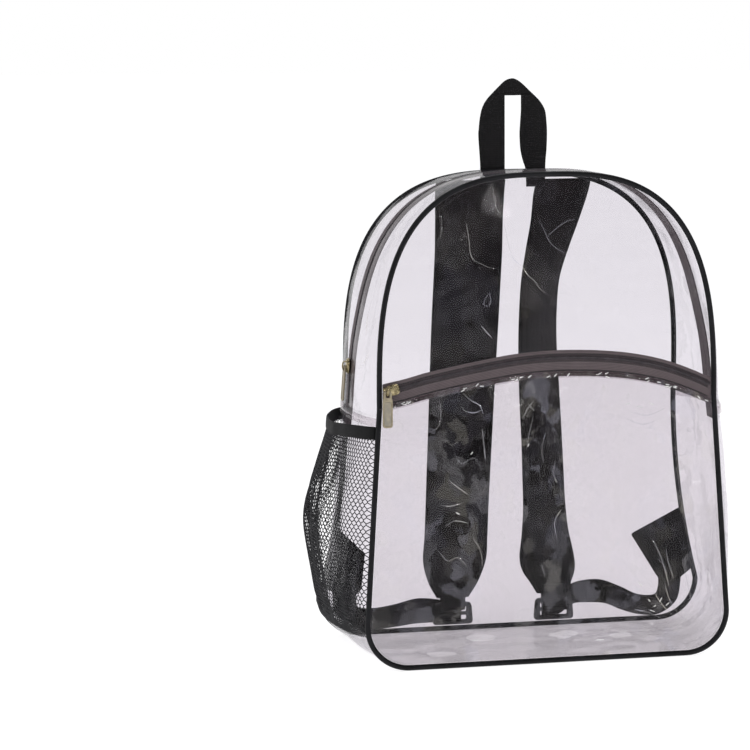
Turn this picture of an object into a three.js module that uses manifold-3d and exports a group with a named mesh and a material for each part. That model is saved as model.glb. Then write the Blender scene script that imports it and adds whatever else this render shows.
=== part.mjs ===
// Clear stadium backpack, standing on its base and zipped shut.
// Millimetres. +X is to the right as seen from the front, +Y goes to the back, +Z is up, z = 0 is the floor.
import * as THREE from "three";
import Module from "manifold-3d";

const wasm = await Module();
wasm.setup();

// Sizes of the bag, between the centre lines of its two piped seams.
const HEIGHT = 394; // from the bottom of the front seam to its top
const DEPTH_BOTTOM = 131;
const DEPTH_TOP = 115;
const PIPE_RADIUS = 2.25;
const VINYL = 1; // thickness of the clear sheet
const GAP = 0.35; // clearance between neighbouring pieces
const LIFT = PIPE_RADIUS; // the pipings rest on the floor
const SEAM_INSET = PIPE_RADIUS + GAP; // from a piping's centre line to the edge of a sheet
const CORNER = 34.4; // radius of the lower corners
const ARCH_POWER = 2.9; // how square the arch is
const WEBBING = 21; // width of the woven tape of the handle and strap ends
const WEBBING_THICK = 1.5;

// Half-widths of the two panels at the lower corner, in the middle of the side and where the arch starts,
// with the arch's height and the panel's height as shares of HEIGHT.
const FRONT = { low: 150.2, mid: 144.5, spring: 138.7, arch: 0.467, tall: 1 };
const REAR = { low: 166, mid: 148, spring: 143.6, arch: 0.4348, tall: 0.992 };

// How far the middle of each panel stands out from its seams
const FRONT_BULGE = 4;
const BACK_BULGE = 2;
const POCKET_BULGE = 8; // the pocket's panel, beyond the front

// Zippers
const POCKET_TAPE = { up: 6, down: 15 }; // edges of the pocket zipper above and below its centre line
const POCKET_SLOT = 11; // the pocket's vinyl ends this far below that line
const MAIN_TAPE = 25; // full width of the main zipper
const TAPE_THICK = 0.8;
const COIL_RADIUS = 1.2;
const TAPE_SPLIT = COIL_RADIUS + GAP; // half the gap between the two tapes of a zipper
const SLOT = 6.5; // half-width left bare of vinyl along the main zipper
const COIL_OUT = 0.8; // the pocket's coil stands this far before the front's face
const MAIN_COIL_IN = 1.4; // the main coil lies this far inside the side's outer face
const SEAM_Z = LIFT + 0.5146 * HEIGHT; // where the upper side strips are joined to the lower one
const SEAM_FOLD = { low: 7, high: 0.5, under: 0.3, over: 1.1 }; // the folded seam, below SEAM_Z and off the side
const TAPE_TAIL = 18; // the main zipper's tape ends run on inside the lower strip
const COIL_START = 3; // the main coil starts this far above the cross seam

// Centre line of the pocket zipper: x as a share of FRONT.mid, height as a share of HEIGHT
const POCKET_LINE = [
  [-0.969, 0.5656], [-0.9, 0.5717], [-0.817, 0.578], [-0.706, 0.5889], [-0.54, 0.6016], [-0.367, 0.6131],
  [-0.2, 0.6224], [-0.028, 0.6275], [0.145, 0.6275], [0.318, 0.624], [0.495, 0.6156], [0.671, 0.6004],
  [0.834, 0.5783], [0.969, 0.5552],
];

// Place of the main zipper across the side, from 0 at the front seam to 1 at the back seam.
// height share along the half outline (0 = bottom middle, 1 = top middle), left side, right side
const ZIP_ACROSS = [
  [0, 0.56, 0.44], [0.45, 0.57, 0.44], [0.62, 0.54, 0.5], [0.8, 0.5, 0.55], [0.92, 0.47, 0.5], [1, 0.46, 0.46],
];

// Outline steps of each half panel
const STEPS = { base: 4, corner: 5, side: 7, arch: 17 };
const HALF = STEPS.base + STEPS.corner + STEPS.side + STEPS.arch;
const AROUND = 2 * HALF;

const mix = (a, b, t) => a + (b - a) * t;
const clamp = (v, a, b) => Math.min(b, Math.max(a, v));
const ease = (v) => {
  const t = clamp(v, 0, 1);
  return t * t * (3 - 2 * t);
};
const vec = (x, y, z) => new THREE.Vector3(x, y, z);
const materials = new Map();

// One named colour for each kind of surface.
function material(name, color, opacity = 1) {
  if (!materials.has(name)) {
    const made = new THREE.MeshStandardMaterial({ color, roughness: 0.5, transparent: opacity < 1, opacity });
    made.name = name;
    materials.set(name, made);
  }
  return materials.get(name);
}
const clear = () => material("clear_vinyl", 0xdedce4, 0.35);
const piping = () => material("black_piping", 0x17171b);
const webbing = () => material("black_webbing", 0x1b1a1e);
const tape = () => material("zipper_tape", 0x5c534f);
const brass = () => material("antique_brass", 0x8f7a55);
const net = () => material("black_net", 0x202024, 0.8);
const plastic = () => material("black_plastic", 0x141416);

// Value at x of a table of rows whose first column rises, smooth between the rows.
function along(table, x, column = 1) {
  const last = table.length - 1;
  let i = 0;
  while (i < last - 1 && x > table[i + 1][0]) i++;
  const [p, q] = [table[i], table[i + 1]];
  const before = table[Math.max(i - 1, 0)], after = table[Math.min(i + 2, last)];
  const span = q[0] - p[0];
  const t = clamp((x - p[0]) / span, 0, 1);
  const slopeP = i > 0 ? (q[column] - before[column]) / (q[0] - before[0]) : (q[column] - p[column]) / span;
  const slopeQ = i < last - 1 ? (after[column] - p[column]) / (after[0] - p[0]) : (q[column] - p[column]) / span;
  const t2 = t * t, t3 = t2 * t;
  return (
    (2 * t3 - 3 * t2 + 1) * p[column] + (t3 - 2 * t2 + t) * span * slopeP +
    (3 * t2 - 2 * t3) * q[column] + (t3 - t2) * span * slopeQ
  );
}

// Half depth of the bag at height z: the front seam is at minus this, the back seam at plus this.
const halfDepth = (z) => mix(DEPTH_BOTTOM, DEPTH_TOP, (z - LIFT) / HEIGHT) / 2;

// Right half of a panel's outline, from the bottom middle to the top middle, as [x, z]. Both panels have their
// side steps at the same heights up to the cross seam, and from there even steps of length over the arch.
function halfOutline(panel) {
  const FINE = 60;
  const rise = HEIGHT * panel.arch, spring = HEIGHT * panel.tall - rise, power = 2 / ARCH_POWER;
  const sideAt = (u) => [
    panel.low * (1 - u) * (1 - 2 * u) + 4 * panel.mid * u * (1 - u) + panel.spring * u * (2 * u - 1),
    mix(CORNER, spring, u),
  ];
  const points = [];
  for (let i = 0; i < STEPS.base; i++) points.push([((panel.low - CORNER) * i) / STEPS.base, 0]);
  for (let i = 0; i < STEPS.corner; i++) {
    const a = (Math.PI / 2) * (i / STEPS.corner);
    points.push([panel.low - CORNER + CORNER * Math.sin(a), CORNER - CORNER * Math.cos(a)]);
  }
  const seam = (SEAM_Z - LIFT - CORNER) / (spring - CORNER);
  for (let i = 0; i < STEPS.side; i++) points.push(sideAt((seam * i) / STEPS.side));
  const fine = [sideAt(seam), sideAt(1)];
  for (let i = 1; i <= FINE; i++) {
    const a = (Math.PI / 2) * (i / FINE);
    fine.push([i === FINE ? 0 : panel.spring * Math.cos(a) ** power, spring + rise * Math.sin(a) ** power]);
  }
  const lengths = [0];
  for (let i = 1; i < fine.length; i++)
    lengths.push(lengths[i - 1] + Math.hypot(fine[i][0] - fine[i - 1][0], fine[i][1] - fine[i - 1][1]));
  for (let i = 0, k = 0; i <= STEPS.arch; i++) {
    const want = (lengths[lengths.length - 1] * i) / STEPS.arch;
    while (k < fine.length - 2 && lengths[k + 1] < want) k++;
    const t = (want - lengths[k]) / (lengths[k + 1] - lengths[k]);
    points.push([mix(fine[k][0], fine[k + 1][0], t), mix(fine[k][1], fine[k + 1][1], t)]);
  }
  return points.map(([x, z]) => [x, z + LIFT]);
}

// Closed outline of a panel: counts up the right side, over the top and down the left side.
function outlineOf(panel) {
  const half = halfOutline(panel);
  const ring = half.concat(half.slice(1, -1).reverse().map(([x, z]) => [-x, z]));
  return ring.map(([x, z], i) => {
    const before = ring[(i - 1 + ring.length) % ring.length], after = ring[(i + 1) % ring.length];
    const dx = after[0] - before[0], dz = after[1] - before[1], long = Math.hypot(dx, dz);
    return { x, z, nx: dz / long, nz: -dx / long };
  });
}
const frontRing = outlineOf(FRONT);
const rearRing = outlineOf(REAR);

// A point of a ring at a place that may lie between two of its points.
function onRing(ring, place) {
  const p = ((place % AROUND) + AROUND) % AROUND;
  const i = Math.floor(p), t = p - i;
  const a = ring[i % AROUND], b = ring[(i + 1) % AROUND];
  const nx = mix(a.nx, b.nx, t), nz = mix(a.nz, b.nz, t), long = Math.hypot(nx, nz);
  return { x: mix(a.x, b.x, t), z: mix(a.z, b.z, t), nx: nx / long, nz: nz / long };
}

// How far the side's outer face bows out between its two seams.
// Rows: height as a share of HEIGHT, bow as a share of SIDE_BOW
const SIDE_BOW = 16.5;
const BOW = [
  [0, 0], [0.0146, 0], [0.0755, 0.242], [0.1466, 0.606], [0.2227, 0.879], [0.2989, 1], [0.4131, 0.97], [0.5146, 0.818],
  [0.6288, 0.606], [0.7303, 0.333], [0.8572, 0.212], [1.01, 0.182],
];
const BOW_UNDER_NET = 0.75; // the left side, behind the net pocket, bows out less
const SIDE_EDGE = 0.9; // the side starts this far outside the seam line, and level with the pipings under the bag

// Outer face of the side at a place around the bag and a share across it, moved out by extra. It starts level
// with the pipings under the bag and just inside them higher up, and leaves both seams steeply.
function sidePoint(place, across, extra = 0) {
  const f = onRing(frontRing, place), r = onRing(rearRing, place);
  const nx = mix(f.nx, r.nx, across), nz = mix(f.nz, r.nz, across), long = Math.hypot(nx, nz);
  const low = Math.min(f.z, r.z), edge = mix(PIPE_RADIUS, SIDE_EDGE, ease((low / CORNER - 0.17) / 1.16));
  const hem = SEAM_INSET / (halfDepth(f.z) + halfDepth(r.z));
  const t = clamp((across - hem) / (1 - 2 * hem), 0, 1);
  const left = ease((0.415 - f.x / FRONT.mid) / 0.83);
  const bow = SIDE_BOW * along(BOW, (low - LIFT) / HEIGHT) * mix(1, BOW_UNDER_NET, left);
  const out = edge + bow * Math.sqrt(4 * t * (1 - t)) + extra;
  const y = mix(-halfDepth(f.z), halfDepth(r.z), across);
  return vec(mix(f.x, r.x, across) + (nx / long) * out, y, mix(f.z, r.z, across) + (nz / long) * out);
}
const depthAt = (place) => halfDepth(onRing(frontRing, place).z) + halfDepth(onRing(rearRing, place).z);

// Share across the side at which the main zipper's centre line runs.
function zipAcross(place) {
  const left = place > HALF;
  const share = (left ? AROUND - place : place) / HALF;
  return along(ZIP_ACROSS, share, left ? 1 : 2);
}

// Place around the bag at which the front seam reaches height z, on the right or the left.
function placeAt(z, left) {
  let i = STEPS.base;
  while (i < HALF - 1 && frontRing[i + 1].z < z) i++;
  const place = i + (z - frontRing[i].z) / (frontRing[i + 1].z - frontRing[i].z);
  return left ? AROUND - place : place;
}

// A mesh from triangles given as triples of points; those without area are left out.
function meshOf(name, surface, triangles) {
  const corners = [];
  let volume = 0;
  for (const [a, b, c] of triangles) {
    if (a.distanceTo(b) < 1e-5 || b.distanceTo(c) < 1e-5 || c.distanceTo(a) < 1e-5) continue;
    corners.push([a, b, c]);
    volume += a.dot(b.clone().cross(c)) / 6;
  }
  const flat = [];
  for (const [a, b, c] of corners) for (const p of volume < 0 ? [a, c, b] : [a, b, c]) flat.push(p.x, p.y, p.z);
  const geometry = new THREE.BufferGeometry();
  geometry.setAttribute("position", new THREE.Float32BufferAttribute(flat, 3));
  geometry.computeVertexNormals();
  const mesh = new THREE.Mesh(geometry, surface);
  mesh.name = name;
  return mesh;
}

// A closed sheet between two grids of points of the same size.
function sheet(name, surface, outer, inner) {
  const triangles = [];
  const quad = (a, b, c, d) => triangles.push([a, b, c], [a, c, d]);
  const rows = outer.length - 1, columns = outer[0].length - 1;
  for (let i = 0; i < rows; i++)
    for (let j = 0; j < columns; j++) {
      quad(outer[i][j], outer[i][j + 1], outer[i + 1][j + 1], outer[i + 1][j]);
      quad(inner[i + 1][j], inner[i + 1][j + 1], inner[i][j + 1], inner[i][j]);
    }
  for (let i = 0; i < rows; i++) {
    quad(outer[i + 1][0], inner[i + 1][0], inner[i][0], outer[i][0]);
    quad(outer[i][columns], inner[i][columns], inner[i + 1][columns], outer[i + 1][columns]);
  }
  for (let j = 0; j < columns; j++) {
    quad(outer[0][j + 1], outer[0][j], inner[0][j], inner[0][j + 1]);
    quad(outer[rows][j], outer[rows][j + 1], inner[rows][j + 1], inner[rows][j]);
  }
  return meshOf(name, surface, triangles);
}

// A swept solid through sections of the same number of points, closed on itself or capped.
function sweep(name, surface, sections, closed = false) {
  const triangles = [];
  const count = sections[0].length, last = sections.length - 1;
  for (let i = 0; i < (closed ? sections.length : last); i++) {
    const a = sections[i], b = sections[(i + 1) % sections.length];
    for (let j = 0; j < count; j++) {
      const k = (j + 1) % count;
      triangles.push([a[j], a[k], b[k]], [a[j], b[k], b[j]]);
    }
  }
  if (!closed)
    for (let j = 1; j < count - 1; j++) {
      triangles.push([sections[0][0], sections[0][j + 1], sections[0][j]]);
      triangles.push([sections[last][0], sections[last][j], sections[last][j + 1]]);
    }
  return meshOf(name, surface, triangles);
}

// A flat plate cut from a shape in x and z, its faces at y = at and y = at + thick.
function plate(name, surface, shape, at, thick, curveSegments = 6) {
  const geometry = new THREE.ExtrudeGeometry(shape, { depth: thick, bevelEnabled: false, curveSegments });
  geometry.rotateX(Math.PI / 2); // the shape's second axis becomes z, its depth runs towards -y
  geometry.translate(0, at + thick, 0);
  const mesh = new THREE.Mesh(geometry, surface);
  mesh.name = name;
  return mesh;
}

// Rounded rectangle as a shape, for plates and pulls.
function roundedBox(x0, z0, x1, z1, r) {
  const shape = new THREE.Shape();
  shape.moveTo(x0 + r, z0);
  shape.lineTo(x1 - r, z0).absarc(x1 - r, z0 + r, r, -Math.PI / 2, 0, false);
  shape.lineTo(x1, z1 - r).absarc(x1 - r, z1 - r, r, 0, Math.PI / 2, false);
  shape.lineTo(x0 + r, z1).absarc(x0 + r, z1 - r, r, Math.PI / 2, Math.PI, false);
  shape.lineTo(x0, z0 + r).absarc(x0 + r, z0 + r, r, Math.PI, 1.5 * Math.PI, false);
  return shape;
}

// A geometry as a manifold solid, and back to a mesh.
function solid(geometry) {
  const merged = new Map(), points = [], index = [];
  const p = geometry.index ? geometry.toNonIndexed().getAttribute("position") : geometry.getAttribute("position");
  for (let i = 0; i < p.count; i++) {
    const xyz = [p.getX(i), p.getY(i), p.getZ(i)].map((v) => Math.round(v * 1e4) / 1e4);
    const key = xyz.join();
    if (!merged.has(key)) {
      merged.set(key, points.length / 3);
      points.push(...xyz);
    }
    index.push(merged.get(key));
  }
  const kept = [];
  for (let i = 0; i < index.length; i += 3) {
    const [a, b, c] = index.slice(i, i + 3);
    if (a !== b && b !== c && c !== a) kept.push(a, b, c);
  }
  return new wasm.Manifold(
    new wasm.Mesh({ numProp: 3, vertProperties: new Float32Array(points), triVerts: new Uint32Array(kept) }),
  );
}

function fromSolid(name, surface, made) {
  const mesh = made.getMesh(), n = mesh.numProp;
  const points = new Float32Array(mesh.numVert * 3);
  for (let i = 0; i < mesh.numVert; i++)
    points.set(mesh.vertProperties.subarray(i * n, i * n + 3), i * 3);
  const geometry = new THREE.BufferGeometry();
  geometry.setAttribute("position", new THREE.BufferAttribute(points, 3));
  geometry.setIndex(new THREE.BufferAttribute(new Uint32Array(mesh.triVerts), 1));
  geometry.computeVertexNormals();
  const out = new THREE.Mesh(geometry, surface);
  out.name = name;
  return out;
}

// Half-width of a panel's sheet at height z, inside its piping.
function halfWidths(ring) {
  const inset = ring.slice(0, HALF + 1).map((p) => [p.x - p.nx * SEAM_INSET, p.z - p.nz * SEAM_INSET]);
  inset[HALF][0] = 0;
  const rows = inset.slice(STEPS.base); // from the start of the corner upwards
  const widthAt = (z) => {
    if (z <= rows[0][1]) return rows[0][0];
    let i = 0;
    while (i < rows.length - 2 && rows[i + 1][1] < z) i++;
    return mix(rows[i][0], rows[i + 1][0], clamp((z - rows[i][1]) / (rows[i + 1][1] - rows[i][1]), 0, 1));
  };
  return { rows, widthAt, bottom: rows[0][1], top: rows[rows.length - 1][1] };
}
const frontWidths = halfWidths(frontRing);
const rearWidths = halfWidths(rearRing);
const COLUMNS = 8;

// Pillow shape of a panel: 0 at its edges and 1 in the middle.
function pillow(x, z, widths) {
  const w = Math.max(widths.widthAt(z), 1), u = clamp(x / w, -1, 1);
  const v = clamp((z - widths.bottom) / (widths.top - widths.bottom), 0, 1);
  return (1 - u * u) * (4 * v * (1 - v)) ** 0.7;
}

// Face of the front that its sheets are layered on, and the same for the back.
const frontFace = (x, z) => -halfDepth(z) - FRONT_BULGE * pillow(x, z, frontWidths);
const rearFace = (x, z) => halfDepth(z) + BACK_BULGE * pillow(x, z, rearWidths);

// The front's layers from inside to outside: its sheet, the pocket zipper's tapes in the middle, the pocket's sheet.
const PANEL_NEAR = TAPE_THICK / 2 + 0.5;
const POCKET_FAR = -(TAPE_THICK / 2 + 0.3);

// A whole panel, row by row between the two sides of its outline.
function panel(name, widths, face, near, far) {
  const outer = [], inner = [];
  for (const [w, z] of widths.rows) {
    const xs = Array.from({ length: COLUMNS + 1 }, (_, j) => w * (-1 + (2 * j) / COLUMNS));
    outer.push(xs.map((x) => vec(x, face(x, z) + near, z)));
    inner.push(xs.map((x) => vec(x, face(x, z) + far, z)));
  }
  return sheet(name, clear(), outer, inner);
}

// Height of the pocket zipper's centre line at x.
const pocketZ = (x) => LIFT + HEIGHT * along(POCKET_LINE, x / FRONT.mid);

// The point at a distance above the pocket zipper's centre line, at share u from the left (-1) to the right (1) edge.
function abovePocketLine(u, distance) {
  let x = 0, z = pocketZ(0);
  for (let k = 0; k < 5; k++) {
    x = u * frontWidths.widthAt(z);
    z = pocketZ(x) + distance;
  }
  return { x, z };
}

// The pocket's panel: from the bottom of the front up to the pocket zipper, standing a little forward.
function pocketPanel() {
  const ROWS = 14;
  const levels = frontWidths.rows.slice(0, STEPS.corner).map((row) => row[1]);
  const start = frontWidths.rows[STEPS.corner][1];
  const outer = [], inner = [];
  for (let i = 0; i <= ROWS; i++) {
    const free = (i - STEPS.corner) / (ROWS - STEPS.corner);
    const rowOuter = [], rowInner = [];
    for (let j = 0; j <= COLUMNS; j++) {
      const u = -1 + (2 * j) / COLUMNS;
      const top = abovePocketLine(u, -POCKET_SLOT).z;
      const z = i < STEPS.corner ? levels[i] : mix(start, top, free);
      const x = frontWidths.widthAt(z) * u;
      const v = clamp((z - frontWidths.bottom) / (top - frontWidths.bottom), 0, 1);
      const y = frontFace(x, z) - POCKET_BULGE * (1 - u * u) * 4 * v * (1 - v) + POCKET_FAR;
      rowOuter.push(vec(x, y - VINYL, z));
      rowInner.push(vec(x, y, z));
    }
    outer.push(rowOuter);
    inner.push(rowInner);
  }
  return sheet("pocket_panel", clear(), outer, inner);
}

// A ribbon of the pocket zipper between two distances above its centre line.
function pocketRibbon(name, low, high) {
  const STEPS_X = 20;
  const outer = [], inner = [];
  for (let i = 0; i <= STEPS_X; i++) {
    const pair = [low, high].map((distance) => abovePocketLine(-1 + (2 * i) / STEPS_X, distance));
    outer.push(pair.map(({ x, z }) => vec(x, frontFace(x, z) - TAPE_THICK / 2, z)));
    inner.push(pair.map(({ x, z }) => vec(x, frontFace(x, z) + TAPE_THICK / 2, z)));
  }
  return sheet(name, tape(), outer, inner);
}

// A rod of six sides along a line of points, across and out being its two section directions.
function rod(name, surface, line, radius) {
  const sections = line.map(({ at, out }, i) => {
    const before = line[Math.max(i - 1, 0)].at, after = line[Math.min(i + 1, line.length - 1)].at;
    const side = after.clone().sub(before).normalize().cross(out).normalize();
    return Array.from({ length: 6 }, (_, k) => {
      const a = (Math.PI / 3) * k;
      return at.clone().addScaledVector(out, radius * Math.cos(a)).addScaledVector(side, radius * Math.sin(a));
    });
  });
  return sweep(name, surface, sections);
}

function pocketZipper() {
  const STEPS_X = 24, ENDS = 0.992; // the coil stops just short of the tapes' ends
  const line = [];
  for (let i = 0; i <= STEPS_X; i++) {
    const { x, z } = abovePocketLine(mix(-ENDS, ENDS, i / STEPS_X), 0);
    line.push({ at: vec(x, frontFace(x, z) - COIL_OUT, z), out: vec(0, -1, 0) });
  }
  return [
    pocketRibbon("pocket_zipper_upper_tape", TAPE_SPLIT, POCKET_TAPE.up),
    pocketRibbon("pocket_zipper_lower_tape", -POCKET_TAPE.down, -TAPE_SPLIT),
    rod("pocket_zipper_coil", tape(), line, COIL_RADIUS),
  ];
}

// Places around the bag from one to another, with the outline's own points between them.
function placesBetween(from, to) {
  const list = [from];
  for (let p = Math.floor(from) + 1; p < to; p++) if (p - from > 0.02 && to - p > 0.02) list.push(p);
  return list.concat(to);
}

// Columns across a strip of the side, closer together at a sewn edge, where it bends most.
const WHOLE = [0, 0.05, 0.15, 0.32, 0.5, 0.68, 0.85, 0.95, 1];
const FROM_SEAM = [0, 0.1, 0.28, 0.6, 1];
const TO_SEAM = [0, 0.4, 0.72, 0.9, 1];

// A strip of the side between two places, its edges given as shares across at each place.
function sideStrip(name, surface, from, to, columns, edges, top, under) {
  const outer = [], inner = [];
  for (const place of placesBetween(from, to)) {
    const [a, b] = edges(place);
    const shares = columns.map((share) => mix(a, b, share));
    outer.push(shares.map((across) => sidePoint(place, across, top)));
    inner.push(shares.map((across) => sidePoint(place, across, under)));
  }
  return sheet(name, surface, outer, inner);
}

const inset = (place) => SEAM_INSET / depthAt(place);

// The lower side strip: up one side, under the bag and up the other.
function lowerGusset() {
  const seam = placeAt(SEAM_Z, false);
  return sideStrip("gusset_lower", clear(), -seam, seam, WHOLE, (p) => [inset(p), 1 - inset(p)], 0, -VINYL);
}

function upperGusset() {
  const from = placeAt(SEAM_Z + GAP, false), to = placeAt(SEAM_Z + GAP, true);
  const strip = (name, columns, edges) => sideStrip(name, clear(), from, to, columns, edges, 0, -VINYL);
  return [
    strip("gusset_upper_front", FROM_SEAM, (p) => [inset(p), zipAcross(p) - SLOT / depthAt(p)]),
    strip("gusset_upper_rear", TO_SEAM, (p) => [zipAcross(p) + SLOT / depthAt(p), 1 - inset(p)]),
  ];
}

function mainZipper() {
  const end = SEAM_Z - TAPE_TAIL, from = placeAt(end, false), to = placeAt(end, true);
  const top = -VINYL - GAP - 0.2, under = top - TAPE_THICK;
  const half = (name, a, b) =>
    sideStrip(name, tape(), from, to, [0, 1], (p) => [zipAcross(p) + a / depthAt(p), zipAcross(p) + b / depthAt(p)],
      top, under);
  const start = SEAM_Z + COIL_START;
  const line = placesBetween(placeAt(start, false), placeAt(start, true)).map((place) => {
    const at = sidePoint(place, zipAcross(place), -MAIN_COIL_IN);
    return { at, out: sidePoint(place, zipAcross(place), 0).sub(at).normalize() };
  });
  return [
    half("main_zipper_front_tape", -MAIN_TAPE / 2, -TAPE_SPLIT),
    half("main_zipper_rear_tape", TAPE_SPLIT, MAIN_TAPE / 2),
    rod("main_zipper_coil", tape(), line, COIL_RADIUS),
  ];
}

// Folded cross seams at the top of the lower side strip, where the upper strips are joined to it.
function gussetSeams() {
  return ["right", "left"].map((side) => {
    const { low, high, under, over } = SEAM_FOLD, left = side === "left";
    const [from, to] = [placeAt(SEAM_Z - low, left), placeAt(SEAM_Z - high, left)].sort((a, b) => a - b);
    return sideStrip("gusset_seam_" + side, clear(), from, to, WHOLE, (p) => [inset(p), 1 - inset(p)], over, under);
  });
}

// A closed piping around one panel.
function pipingRing(name, ring, sign) {
  const lean = vec(0, 1, 0);
  const sections = ring.map((p) => {
    const at = vec(p.x, sign * halfDepth(p.z), p.z), out = vec(p.nx, 0, p.nz);
    return Array.from({ length: 8 }, (_, k) => {
      const a = (Math.PI / 4) * k;
      return at.clone().addScaledVector(out, PIPE_RADIUS * Math.cos(a))
        .addScaledVector(lean, PIPE_RADIUS * Math.sin(a));
    });
  });
  return sweep(name, piping(), sections, true);
}

// Side net pocket on the left, whose rows lie on the outline's own points, up to its binding.
// Rows: outline steps above the lower corner, stand-off from the side as a share of NET_BULGE
const NET_BULGE = 25;
const NET_ROWS = [
  [-0.72, 0.24], [0, 0.34], [0.43, 0.48], [1, 0.62], [2, 0.84], [3, 1], [4, 0.972], [5, 0.732], [6.2, 0.53],
];
const BINDING = { low: 6.27, wide: 10.5, standOff: 12.6, thick: 1.6 }; // low in the same steps

// A point of the net: place around the bag, share between its two sewn edges, stand-off of its middle.
function netPoint(place, share, standOff, extra) {
  const edge = inset(place), skew = share ** 1.15;
  const rise = standOff * (4 * skew * (1 - skew)) ** 0.75;
  return sidePoint(place, mix(edge, 1 - edge, share), GAP + rise + extra);
}

function netPocket() {
  const COLUMNS_NET = [0, 0.05, 0.15, 0.3, 0.42, 0.54, 0.66, 0.77, 0.87, 0.95, 1];
  const row = (place, standOff, extra) => COLUMNS_NET.map((share) => netPoint(place, share, standOff, extra));
  const placeOf = (steps) => AROUND - (STEPS.base + STEPS.corner + steps);
  const rows = (extra) => NET_ROWS.map(([steps, share]) => row(placeOf(steps), share * NET_BULGE, extra));
  const { standOff, thick } = BINDING, low = placeOf(BINDING.low);
  const high = placeAt(onRing(frontRing, low).z + BINDING.wide, true);
  return [
    sheet("mesh_pocket", net(), rows(VINYL), rows(0)),
    sheet("mesh_pocket_binding", webbing(),
      [row(low, standOff, thick), row(high, standOff, thick)], [row(low, standOff, 0), row(high, standOff, 0)]),
  ];
}

// The hang loop: one length of webbing with two mitred folds, so both legs lie flat side by side.
// Rows: x as a share of WEBBING, height above the back seam's top as a share of HANDLE_RISE
const HANDLE_RISE = 77.4;
const HANDLE_EDGE = [
  [-1.476, -0.273], [-0.476, -0.273], [-0.452, 0.709], [-0.31, 0.806], [0.238, 0.806], [0.405, 0.709],
  [0.357, -0.273], [1.357, -0.273], [1.452, 0.451], [1.333, 0.683], [0.905, 0.864], [0.143, 1],
  [-0.143, 1], [-0.952, 0.877], [-1.381, 0.696], [-1.524, 0.438],
];
function grabHandle() {
  const y = halfDepth(HEIGHT) + PIPE_RADIUS + GAP, seam = LIFT + HEIGHT * REAR.tall;
  const shape = new THREE.Shape();
  HANDLE_EDGE.forEach(([u, v], i) => {
    const x = u * WEBBING, z = seam + v * HANDLE_RISE;
    if (i) shape.lineTo(x, z);
    else shape.moveTo(x, z);
  });
  return plate("grab_handle", webbing(), shape, y, WEBBING_THICK);
}

// Shoulder straps. Rows from top to bottom, as shares: height of HEIGHT, middle of REAR.mid, distance behind
// the back seam of STRAP.out, width and thickness of STRAP's own, then the turn about the upright in degrees.
const STRAP = { wide: 58, thick: 6, out: 26 };
const STRAP_LEFT = [
  [0.974, -0.2331, 0.238, 1.017, 0.6, 0], [0.9435, -0.2324, 0.404, 1.017, 0.933, 0], [0.8826, -0.2284, 0.596, 1, 1, 0],
  [0.8217, -0.225, 0.731, 1, 1, 0], [0.7456, -0.2297, 0.846, 1, 1, 0], [0.6694, -0.2365, 0.923, 1, 1, 0],
  [0.5831, -0.2446, 0.981, 0.99, 1, 0], [0.4968, -0.2534, 1, 0.976, 1, 0], [0.4105, -0.2635, 0.981, 0.966, 1, 0],
  [0.3217, -0.2757, 0.923, 0.955, 1, 0], [0.2557, -0.2858, 0.846, 0.948, 1, 0], [0.1923, -0.2959, 0.75, 0.948, 1, 0],
  [0.1415, -0.3081, 0.654, 0.948, 0.933, 0], [0.0958, -0.3182, 0.577, 0.759, 0.8, 0], [0.0603, -0.325, 0.519, 0.483, 0.667, 0],
];
const STRAP_RIGHT = [
  [0.974, 0.3, 0.34, 0.931, 0.6, 6], [0.9435, 0.2905, 0.5, 0.983, 0.933, 12], [0.8826, 0.2703, 0.712, 0.983, 1, 25],
  [0.8217, 0.2432, 0.885, 0.983, 1, 35], [0.7532, 0.2149, 1, 0.983, 1, 42], [0.6796, 0.2047, 1.077, 0.983, 1, 43],
  [0.6034, 0.2047, 1.096, 0.976, 1, 42], [0.5019, 0.2162, 1.077, 0.976, 1, 40], [0.4029, 0.2297, 1.038, 0.966, 1, 39],
  [0.3242, 0.2378, 1, 0.966, 1, 38], [0.2557, 0.2432, 0.942, 0.948, 1, 36], [0.1923, 0.2446, 0.846, 0.948, 1, 30],
  [0.1466, 0.2473, 0.712, 0.931, 0.933, 18], [0.111, 0.2568, 0.596, 0.81, 0.8, 3], [0.0857, 0.2669, 0.546, 0.638, 0.733, 0],
  [0.0603, 0.277, 0.519, 0.483, 0.667, 0],
];

function strap(name, rows) {
  const sections = rows.map(([high, middle, out, width, thick, turn]) => {
    const a = THREE.MathUtils.degToRad(turn), z = LIFT + high * HEIGHT;
    const wide = vec(Math.cos(a), Math.sin(a), 0).multiplyScalar((width * STRAP.wide) / 2);
    const deep = vec(-Math.sin(a), Math.cos(a), 0).multiplyScalar((thick * STRAP.thick) / 2);
    const at = vec(middle * REAR.mid, halfDepth(z) + out * STRAP.out, z);
    const corner = [[-1, 0], [-0.94, -0.75], [-0.8, -1], [0.8, -1], [0.94, -0.75], [1, 0], [0.94, 0.75], [0.8, 1],
      [-0.8, 1], [-0.94, 0.75]];
    return corner.map(([u, v]) => at.clone().addScaledVector(wide, u).addScaledVector(deep, v));
  });
  return sweep(name, material("strap_fabric", 0x1c1b20), sections);
}

// Ladder locks at the strap ends: a plate with two slots, each given as its edges above the plate's own lower
// edge, and the plate's place behind the back seam.
const LOCK = { width: 36, low: 2.2, high: 21.5, thick: 4, out: 13.5, slots: [[4, 8], [11, 15.5]] };
const LOCK_X = { left: -0.3243 * REAR.mid, right: 0.2838 * REAR.mid };
const lockY = () => halfDepth(LOCK.low) + LOCK.out;

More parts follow.
